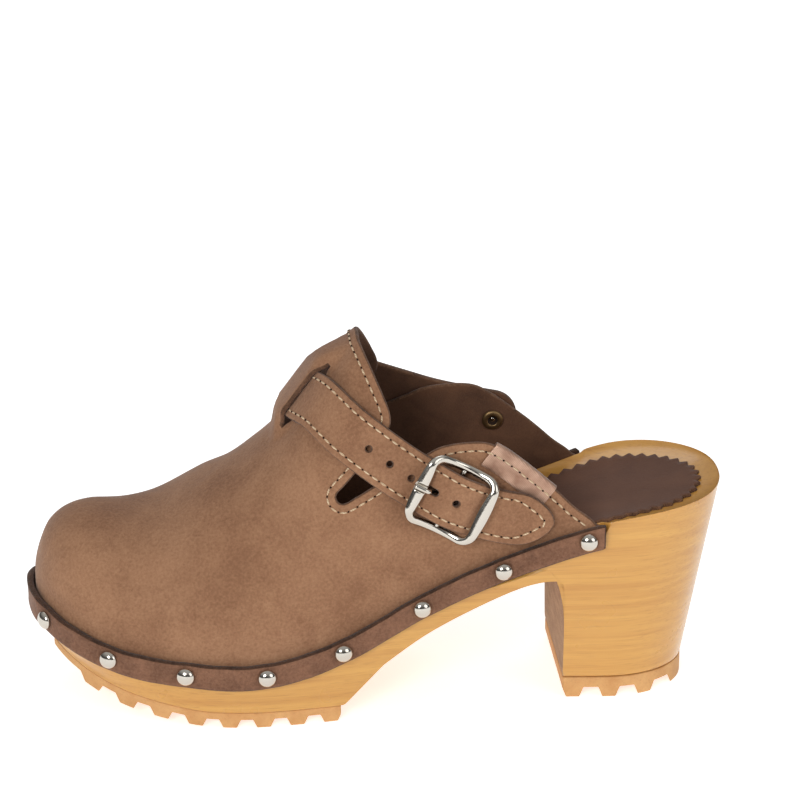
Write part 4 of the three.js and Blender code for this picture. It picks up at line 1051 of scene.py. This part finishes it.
# ------------------------------------------------------------------ rand and its studs
def outline_route(count):
    """Edge of the base from the rand's outer end round the toe to its inner end: points and outward."""
    half = TOE_X + (RAND_END_X - TOE_X) * (1 - np.cos(np.linspace(0, math.pi / 2, count)))
    x = np.concatenate([half[1:][::-1], half])
    side = np.concatenate([np.zeros(count - 1, int), np.ones(count, int)])

    def half_plan(at):
        return np.where(side == 0, *plan(at))

    y = half_plan(x)
    reach = 0.02
    ahead = half_plan(x + reach) - half_plan(x - reach)
    along = unit(np.stack([np.full(len(x), 2 * reach), ahead], 1))
    turn = np.where(side == 0, 1.0, -1.0)
    out = np.stack([along[:, 1] * turn, -along[:, 0] * turn, np.zeros(len(x))], 1)
    out[x - reach <= TOE_X] = (-1, 0, 0)
    return np.stack([x, y, rim(x) - RAND_WIDTH / 2], 1), out


def stud_marks():
    points, _ = outline_route(301)
    run = lengths(points)
    rear = STUD_INSET + WAIST_STUDS * WAIST_STUD_GAP
    front = (run[-1] - 2 * rear) / (STUD_COUNT - 2 - 2 * WAIST_STUDS + TIP_STUD_GAP)
    marks = []
    for k in range(STUD_COUNT):
        from_end = min(k, STUD_COUNT - 1 - k)
        beyond = from_end - WAIST_STUDS
        reach = rear + beyond * (front if beyond > 0 else WAIST_STUD_GAP)
        marks.append(reach if k <= (STUD_COUNT - 1) / 2 else run[-1] - reach)
    return np.array(marks)


ROUTE_POINTS, ROUTE_OUT = outline_route(900)
ROUTE_RUN = lengths(ROUTE_POINTS)
STUD_MARKS = stud_marks()


def route_at(s):
    point = np.stack([np.interp(s, ROUTE_RUN, ROUTE_POINTS[:, k]) for k in range(3)], -1)
    out = unit(np.stack([np.interp(s, ROUTE_RUN, ROUTE_OUT[:, k]) for k in range(3)], -1))
    return point, out


def from_stud(s):
    return np.min(np.abs(np.asarray(s)[:, None] - STUD_MARKS[None, :]), axis=1)


def rand():
    end = ROUTE_RUN[-1]

    def laid(s, h):
        point, out = route_at(s)
        away = from_stud(s)
        held = np.exp(-(away / 3.6) ** 2)
        ripple = patchy(np.stack([s, h, 0 * s], 1), 0.09, 21.0)
        swell = 0.3 * (1 - held) * (h / RAND_WIDTH) ** 2 + 0.22 * ripple * (1 - held) - 0.25 * held
        face = point + out * (GAP + RAND_THICK + swell)[:, None]
        face[:, 2] = point[:, 2] - RAND_WIDTH / 2 + h
        return face, out

    s = np.arange(0, end, 1.0)
    wave = 0.28 * patchy(np.stack([s, 0 * s, 0 * s], 1), 0.12, 5.0) - 0.22 * np.exp(-(from_stud(s) / 4) ** 2)
    upper_edge = np.stack([s, RAND_WIDTH - 0.1 + wave], 1)[::-1]
    lower_edge = np.stack([s, 0 * s], 1)
    inner_end = resampled([(end, 0.0), (end, RAND_WIDTH - 0.2)], 1.0)
    outline = np.vstack([lower_edge, inner_end[:-1], upper_edge])
    finishes = [rand_leather, rand_edge]
    obj, _ = cut_sheet("rand_strip", outline, [], laid, RAND_THICK, 1.3, finishes, bulge=0.55)
    kept(obj, "clog", "rand_leather", "rand")


def dome(radius, height, start, shank, depth, steps=9):
    """Profile of a nail: its domed head over start, its shank down to depth below the middle."""
    turn = np.linspace(0.16, math.pi / 2, steps)
    arc = [(radius * math.cos(a), start + height * math.sin(a)) for a in turn[:-1]]
    stem = [(1e-4, -depth), (shank, -depth), (shank, start)]
    return [*stem, (radius * 0.94, start), *arc, (1e-4, start + height)]


def studs():
    head = dome(STUD_HEAD_R, STUD_HEAD_H, 2 * GAP + RAND_THICK, STUD_SHANK_R, STUD_SHANK)
    points, faces = lathe(head, 36, -SHIFT, np.array([1.0, 0, 0]), np.array([0, 0, 1.0]))
    master = piece("stud_master", points, faces, [nickel])
    tree, sockets = stud_tree()
    spots, out = route_at(STUD_MARKS)
    row = grown("rand_studs", tree, sockets, spots, out, [], {"Stud": master, "Finish": nickel})
    bpy.data.objects.remove(master)
    kept(row, "clog", "nickel", *[f"rand_stud_{k + 1}" for k in range(STUD_COUNT)])


rand()
studs()

# ------------------------------------------------------------------ strap
HUMP = BAR_HEIGHT + BAR_R + GAP + CHAPE_THICK + GAP + STRAP_THICK / 2
BUCKLE_STOP = 6
STRAP_LINE = [
    (61.5, 76, -1, STRAP_LIFT + 0.8), (51, 77.3, -1, STRAP_LIFT + 0.9), (42, 78.8, -1, STRAP_LIFT + 0.9),
    (36, 80.6, -1, STRAP_LIFT + 1.2), (32.3, 82.3, -1, STRAP_LIFT + 2.9), (28.1, 84.4, -1, HUMP - 0.7),
    (23.2, 86.7, -1, HUMP), (17, 89.9, -1, HUMP - 1.9), (11.4, 92.9, -1, STRAP_LIFT + 0.4),
    (5, 97.2, -1, STRAP_LIFT), (-4, 103.8, -1, STRAP_LIFT), (-13, 110.7, -1, STRAP_LIFT + 0.6),
    (-21, 116.4, -1, STRAP_LIFT + 0.9), (CROWN_X, None, 0, CROWN_LIFT), (-21, 116.4, 1, STRAP_LIFT + 0.9),
    (-14, 110.5, 1, STRAP_LIFT + 0.6), (-3, 105.8, 1, STRAP_LIFT), (9, 101.2, 1, STRAP_LIFT),
    (22, 96.6, 1, STRAP_LIFT), (37, 92.8, 1, STRAP_LIFT), (55, 88.8, 1, STRAP_LIFT),
]


def strap_stops():
    faces, normals, middles = [], [], []
    for x, z, side, lift in STRAP_LINE:
        a = math.pi / 2 if side == 0 else float(angle_at(x, z, side))
        face, normal = face_point(x, a), face_normal(x, a)
        faces.append(face)
        normals.append(normal)
        middles.append(face + normal * lift)
    return np.array(faces), np.array(normals), np.array(middles)


STOP_FACES, STOP_NORMALS, STOP_MIDDLES = strap_stops()
strap_middle, strap_normal = Rope(STOP_MIDDLES), Rope(STOP_NORMALS)
STRAP_T = np.linspace(0, 1, 2400)
STRAP_POINTS = strap_middle.at(STRAP_T)
STRAP_ALONG = strap_middle.along(STRAP_T)
STRAP_ACROSS = unit(np.cross(strap_normal.at(STRAP_T), STRAP_ALONG))
STRAP_OUT = unit(np.cross(STRAP_ALONG, STRAP_ACROSS))
STRAP_RUN = lengths(STRAP_POINTS)
BUCKLE_T = BUCKLE_STOP / (len(STRAP_LINE) - 1)
RIVET_T = 1 - 0.5 / (len(STRAP_LINE) - 1)
BUCKLE_AT, RIVET_AT = np.interp([BUCKLE_T, RIVET_T], STRAP_T, STRAP_RUN)


def strap_frame(s):
    def at(table):
        return np.stack([np.interp(s, STRAP_RUN, table[:, k]) for k in range(3)], -1)
    return at(STRAP_POINTS), unit(at(STRAP_ALONG)), unit(at(STRAP_ACROSS)), unit(at(STRAP_OUT))


def strap_surface(s, b):
    point, _, across, out = strap_frame(s)
    crown = 0.12 * (1 - (b / (STRAP_WIDTH / 2)) ** 4)
    return point + across * b[:, None] + out * (STRAP_THICK / 2 - 0.12 + crown)[:, None], out


def strap_edge(inset, step, power=STRAP_TIP_POWER, round_inner_end=False):
    """Edge of the strap, set in by inset, from its inner end along one side, round the tip and back."""
    half, end = STRAP_WIDTH / 2 - inset, STRAP_RUN[-1] - STRAP_WIDTH / 2
    start, nose = 1.3 * inset, STRAP_TIP_LENGTH - 0.6 * inset
    turn = np.linspace(math.pi / 2, -math.pi / 2, 70)
    tip = [
        (start + nose * (1 - math.cos(a) ** (2 / power)),
         half * math.copysign(abs(math.sin(a)) ** (2 / power), math.sin(a)))
        for a in turn[1:-1]
    ]
    sides = [(end, half), (start + nose, half), *tip, (start + nose, -half), (end, -half)]
    if round_inner_end:
        sides += [(end + half * math.cos(a), half * math.sin(a)) for a in turn[::-1][1:-1]]
    return resampled(sides, step, closed=round_inner_end)


def ring(centre, radius, stretch=0.0, count=20):
    angles = np.linspace(0, 2 * math.pi, count, endpoint=False)
    return np.array([
        (centre + radius * math.cos(a) + stretch * math.copysign(1, math.cos(a)), radius * math.sin(a))
        for a in angles
    ])


def strap():
    outline = strap_edge(EDGE_BULGE * 0.6, 0.8, round_inner_end=True)
    marks = [BUCKLE_AT + PRONG_HOLE_AT + k * HOLE_PITCH for k in (-1, 0, 1, 2, 3)]
    holes = [ring(mark, HOLE_R, PRONG_HOLE_STRETCH if k == 1 else 0.0) for k, mark in enumerate(marks)]
    obj, _ = cut_sheet("strap_leather", outline, holes, strap_surface, STRAP_THICK, 1.25,
                       [nubuck, cut_edge, flesh_side], bulge=0.4)
    kept(obj, "clog", "nubuck", "strap")
    line = strap_edge(2.6, 0.6, power=1.2)
    points, normals = strap_surface(line[:, 0], line[:, 1])
    seam("strap", points + normals * 0.05, normals, "nubuck")


strap()

# ------------------------------------------------------------------ buckle, prong, chape and rivets
OUT = STOP_NORMALS[BUCKLE_STOP]
ALONG = -strap_middle.along(BUCKLE_T)[0]
ALONG = unit(ALONG - OUT * dot(ALONG, OUT))
ACROSS = np.cross(OUT, ALONG)
BUCKLE_ORIGIN = STOP_FACES[BUCKLE_STOP]


def buckled(points):
    """Points of the buckle's frame: along the strap to its tip, across it, out of the wing's face."""
    return BUCKLE_ORIGIN + np.asarray(points, float) @ np.array([ALONG, ACROSS, OUT])


def buckle_frame():
    corner, x, y = BUCKLE_CORNER, BAR_REACH - BUCKLE_CORNER, RAIL_REACH - BUCKLE_CORNER

    def arc(cx, cy, start):
        turn = np.linspace(start, start + math.pi / 2, 14)
        return [(cx + corner * math.cos(a), cy + corner * math.sin(a)) for a in turn]

    corners = [(x, y), (-x, y), (-x, -y), (x, -y)]
    loop = [(BAR_REACH, 0), *[p for k, c in enumerate(corners) for p in arc(*c, k * math.pi / 2)]]
    path = resampled(loop, 0.42, closed=True)
    ahead = unit(np.roll(path, -1, 0) - np.roll(path, 1, 0))
    side = np.stack([ahead[:, 1], -ahead[:, 0]], 1)
    middling = np.clip(1 - (np.abs(path[:, 1]) / (RAIL_REACH - 1.4)) ** 2, 0, 1)
    flare = np.where(np.abs(path[:, 0]) > BAR_REACH - 0.8, middling, 0)
    points = []
    section = np.linspace(0, 2 * math.pi, 22, endpoint=False)
    for (s, b), n, f in zip(path, side, flare):
        height = BAR_HEIGHT + (END_BAR_HEIGHT - BAR_HEIGHT) * (s / BAR_REACH) ** 2
        width = BAR_R + FRAME_FLARE + 0.9 * f
        for a in section:
            c, v = math.cos(a), math.sin(a)
            flat = 0.85 - 0.1 * f
            u = width * math.copysign(abs(c) ** flat, c)
            h = height + BAR_R * math.copysign(abs(v) ** (1 + 0.25 * f), v)
            if s < 0 and abs(b) < 1.5 and h > height - 0.4:
                h = min(h, PRONG_REST - math.sqrt(1.5 ** 2 - b * b))
            points.append((s + n[0] * (u + FRAME_FLARE), b + n[1] * (u + FRAME_FLARE), h))
    ring_part = buckled(points), skin_faces(len(path), len(section), around=True)
    bar_line = [(0, b, BAR_HEIGHT) for b in np.linspace(0.6 - RAIL_REACH, RAIL_REACH - 0.6, 12)]
    bar = tube(buckled(bar_line), BAR_R * 0.9, 20, OUT)
    obj = piece("buckle_ring", *joined([ring_part, bar]), [nickel])
    kept(obj, "buckle", "nickel", "buckle_frame")


def prong():
    line = Rope([
        (-1.7, 0, 3.3), (-5, 0, 2.9), (-7, 0, 4.1), (-8.6, 0, 6.4),
        (-9.7, 0, PRONG_REST), (-14.6, 0, PRONG_REST),
    ])
    rod = tube(buckled(line.at(np.linspace(0, 1, 60))), PRONG_R, 18, ACROSS)
    inner, outer, half = BAR_R + GAP, BAR_R + GAP + 0.9, 1.1
    eye = lathe([(inner, -half), (outer, -half), (outer, half), (inner, half), (inner, -half)], 32,
                buckled([(0, 0, BAR_HEIGHT)])[0], ALONG, ACROSS)
    obj = piece("prong_rod", *joined([rod, eye]), [nickel])
    kept(obj, "prong", "nickel", "buckle_prong")


def chape():
    reach = BAR_R + GAP + CHAPE_THICK / 2
    turn = np.linspace(1.5 * math.pi, 0.28 * math.pi, 24)
    bend = [(reach * math.cos(a), BAR_HEIGHT + reach * math.sin(a)) for a in turn]
    low, high = GAP + CHAPE_THICK / 2, GAP + 1.5 * CHAPE_THICK + CHAPE_FOLD_GAP
    path = resampled([(CHAPE_END, low), *bend, (4.0, high), (CHAPE_END, high)], 0.3)
    run = lengths(path)
    ahead = unit(np.gradient(path, axis=0))

    def laid(s, b):
        centre = np.stack([np.interp(s, run, path[:, k]) for k in (0, 1)], 1)
        way = unit(np.stack([np.interp(s, run, ahead[:, k]) for k in (0, 1)], 1))
        out = np.stack([way[:, 1], 0 * s, -way[:, 0]], 1)
        face = np.stack([centre[:, 0], b, centre[:, 1]], 1) + out * CHAPE_THICK / 2
        basis = np.array([ALONG, ACROSS, OUT])
        return buckled(face), out @ basis

    half, end = CHAPE_WIDTH / 2, run[-1]
    outline = resampled([(0, -half), (end, -half), (end, half), (0, half)], 0.8, closed=True)
    slot_from, slot_to = CHAPE_END - 2.2, CHAPE_END + math.pi * reach
    slot_outline = resampled([(slot_from, -CHAPE_SLOT / 2), (slot_to, -CHAPE_SLOT / 2),
                              (slot_to, CHAPE_SLOT / 2), (slot_from, CHAPE_SLOT / 2)], 0.8, closed=True)
    finishes = [nubuck, cut_edge]
    obj, _ = cut_sheet("chape_loop", outline, [slot_outline], laid, CHAPE_THICK, 0.9, finishes, bulge=0.15)
    kept(obj, "clog", "nubuck", "chape")


def washer_profile(inner, outer, low, high):
    lip = min(0.18, (high - low) / 3)
    rim_corners = [(outer - lip, low), (outer, low + lip), (outer, high - lip), (outer - lip, high)]
    return [(inner, low), *rim_corners, (inner, high), (inner, low)]


def rivets():
    centre = buckled([(CHAPE_RIVET_AT, 0, 0)])[0]
    top = 2 * GAP + 2 * CHAPE_THICK + CHAPE_FOLD_GAP
    small = lathe(dome(RIVET_HEAD_R, 0.7, top, RIVET_R, LEATHER + 2.2, 6), 28, centre, ALONG, OUT)
    kept(piece("chape_rivet_head", *small, [nickel]), "clog", "nickel", "chape_rivet")
    flat_ring = washer_profile(RIVET_R + 0.02, RIVET_HEAD_R, -LEATHER - 1.6, -LEATHER - 0.9)
    ring_part = lathe(flat_ring, 28, centre, ALONG, OUT)
    kept(piece("chape_washer", *ring_part, [brass]), "clog", "rivet_brass", "chape_rivet_washer")
    point, along, _, out = (v[0] for v in strap_frame(np.array([RIVET_AT])))
    inner = -STRAP_LIFT - LEATHER - GAP
    depth = 0.35 - inner
    head = dome(STRAP_RIVET_HEAD_R, 1.4, STRAP_THICK / 2 + GAP, RIVET_R, depth, 8)
    large = lathe(head, 40, point, along, out)
    kept(piece("strap_rivet_head", *large, [nickel]), "clog", "nickel", "strap_rivet")
    low, bore = inner - WASHER_THICK - 0.6, RIVET_R + 0.02
    cup = [(bore, low + 0.72), (1.8, low + 0.72), (1.9, low), (2.2, low - 0.12), (3.4, low - 0.12)]
    back = [(STRAP_RIVET_HEAD_R, low + 0.3), (STRAP_RIVET_HEAD_R, inner - 0.6), (bore, inner - 0.6)]
    ring_profile = [*cup, *back, cup[0]]
    points, faces = lathe(ring_profile, 40, point, along, out)
    # painted shade: the faces of the washer's inner cup round the bore get the dark hole finish
    middles = np.array([points[list(face)].mean(axis=0) for face in faces]) - point
    in_cup = np.linalg.norm(middles - dot(middles, out) * out, axis=1) < 1.88
    kept(piece("strap_washer", points, faces, [brass, painted_hole_shade], in_cup.astype(int)),
         "clog", "rivet_brass", "strap_rivet_washer")


buckle_frame()
prong()
chape()
rivets()

# ------------------------------------------------------------------ ribbon label folded over the wing
LABEL_TOP = [(40, 104.4), (44.5, 101.6), (54, 94), (61.5, 87.4)]


def ribbon_label():
    top = resampled(Rope(LABEL_TOP).at(np.linspace(0, 1, 200)), 0.4)
    run = lengths(top)
    down = unit(np.array([-17.0, -21.5]))
    turn = LEATHER / 2 + GAP + LABEL_THICK
    wrap = math.pi * turn / 2

    def laid(s, q):
        edge = np.stack([np.interp(s, run, top[:, k]) for k in (0, 1)], 1)
        depth = np.maximum(np.abs(q) - wrap, 0)
        spot = edge + down * depth[:, None]
        a = angle_at(spot[:, 0], spot[:, 1], -1)
        p, n = face_point(spot[:, 0], a), face_normal(spot[:, 0], a)
        ahead = unit(face_point(spot[:, 0] + 0.5, angle_at(spot[:, 0] + 0.5, spot[:, 1] - 0.4, -1)) - p)
        rise = unit(np.cross(n, ahead))
        rise = rise * np.sign(rise[:, 2:3])
        bend = np.clip(q / wrap, -1, 1) * math.pi / 2
        normal = n * np.sin(bend)[:, None] + rise * np.cos(bend)[:, None]
        return p - n * LEATHER / 2 + normal * turn, unit(normal)

    reach = wrap + LABEL_WIDTH
    outline = resampled([(0, -reach), (run[-1], -reach), (run[-1], reach), (0, reach)], 0.8, closed=True)
    obj, _ = cut_sheet("label_ribbon", outline, [], laid, LABEL_THICK, 0.9, [satin_ribbon], bulge=0.1)
    kept(obj, "clog", "satin_ribbon", "ribbon_label")


ribbon_label()

# ------------------------------------------------------------------ floor, light and camera
floor = bpy.data.meshes.new("floor")
floor.from_pydata([(-4, -4, 0), (4, -4, 0), (4, 4, 0), (-4, 4, 0)], [], [(0, 1, 2, 3)])
floor_object = bpy.data.objects.new("floor", floor)
bpy.context.scene.collection.objects.link(floor_object)
floor_finish, floor_wiring, floor_skin = finish_named("pale_floor")
floor_wiring.feed(floor_skin, "Base Color", (0.93, 0.93, 0.93, 1.0))
floor_wiring.feed(floor_skin, "Roughness", 0.9)
floor_wiring.feed(floor_skin, "Emission Color", (1.0, 1.0, 1.0, 1.0))
floor_wiring.feed(floor_skin, "Emission Strength", 0.6)
floor.materials.append(floor_finish)

# A pale room with a dark band round the horizon, which bright metal mirrors; the camera sees plain white.
world = bpy.data.worlds.new("studio")
world.use_nodes = True
sky = Wiring(world.node_tree)
way = world.node_tree.nodes.new("ShaderNodeTexCoord").outputs["Generated"]
height = sky.add("ShaderNodeSeparateXYZ", Vector=way).outputs["Z"]
overhead, below = sky.spread(height, 0.2, 0.8, 0.08, 0.52), sky.spread(height, 0.0, -0.2, 0.08, 0.4)
bright = sky.math("MAXIMUM", overhead, below)
seen = world.node_tree.nodes.new("ShaderNodeLightPath").outputs["Is Camera Ray"]
sky.feed(world.node_tree.nodes["Background"], "Color", (1.0, 1.0, 1.0, 1.0))
sky.feed(world.node_tree.nodes["Background"], "Strength", sky.math("MAXIMUM", bright, seen))
bpy.context.scene.world = world


def area_light(name, at, size, power, aim=(0.0, 0.0, 0.05)):
    lamp = bpy.data.lights.new(name, "AREA")
    lamp.shape = "DISK"
    lamp.size = size
    lamp.energy = power
    obj = bpy.data.objects.new(name, lamp)
    obj.location = at
    obj.rotation_euler = (Vector(at) - Vector(aim)).to_track_quat("Z", "Y").to_euler()
    bpy.context.scene.collection.objects.link(obj)


area_light("key", (-0.8, -1.7, 1.0), 0.8, 18)
area_light("fill", (1.2, -1.2, 0.7), 1.1, 6)
area_light("back", (0.2, 1.2, 1.4), 1.2, 5)

camera = bpy.data.objects.new("camera", bpy.data.cameras.new("camera"))
camera.data.sensor_width = 36
camera.data.lens = 183.6
camera.data.clip_start = 0.05
camera.location = (-0.1207, -1.3717, 0.6906)
camera.rotation_euler = (math.radians(67.2), 0, math.radians(-5.4))
bpy.context.scene.collection.objects.link(camera)
bpy.context.scene.camera = camera
bpy.context.scene.view_settings.view_transform = "Standard"
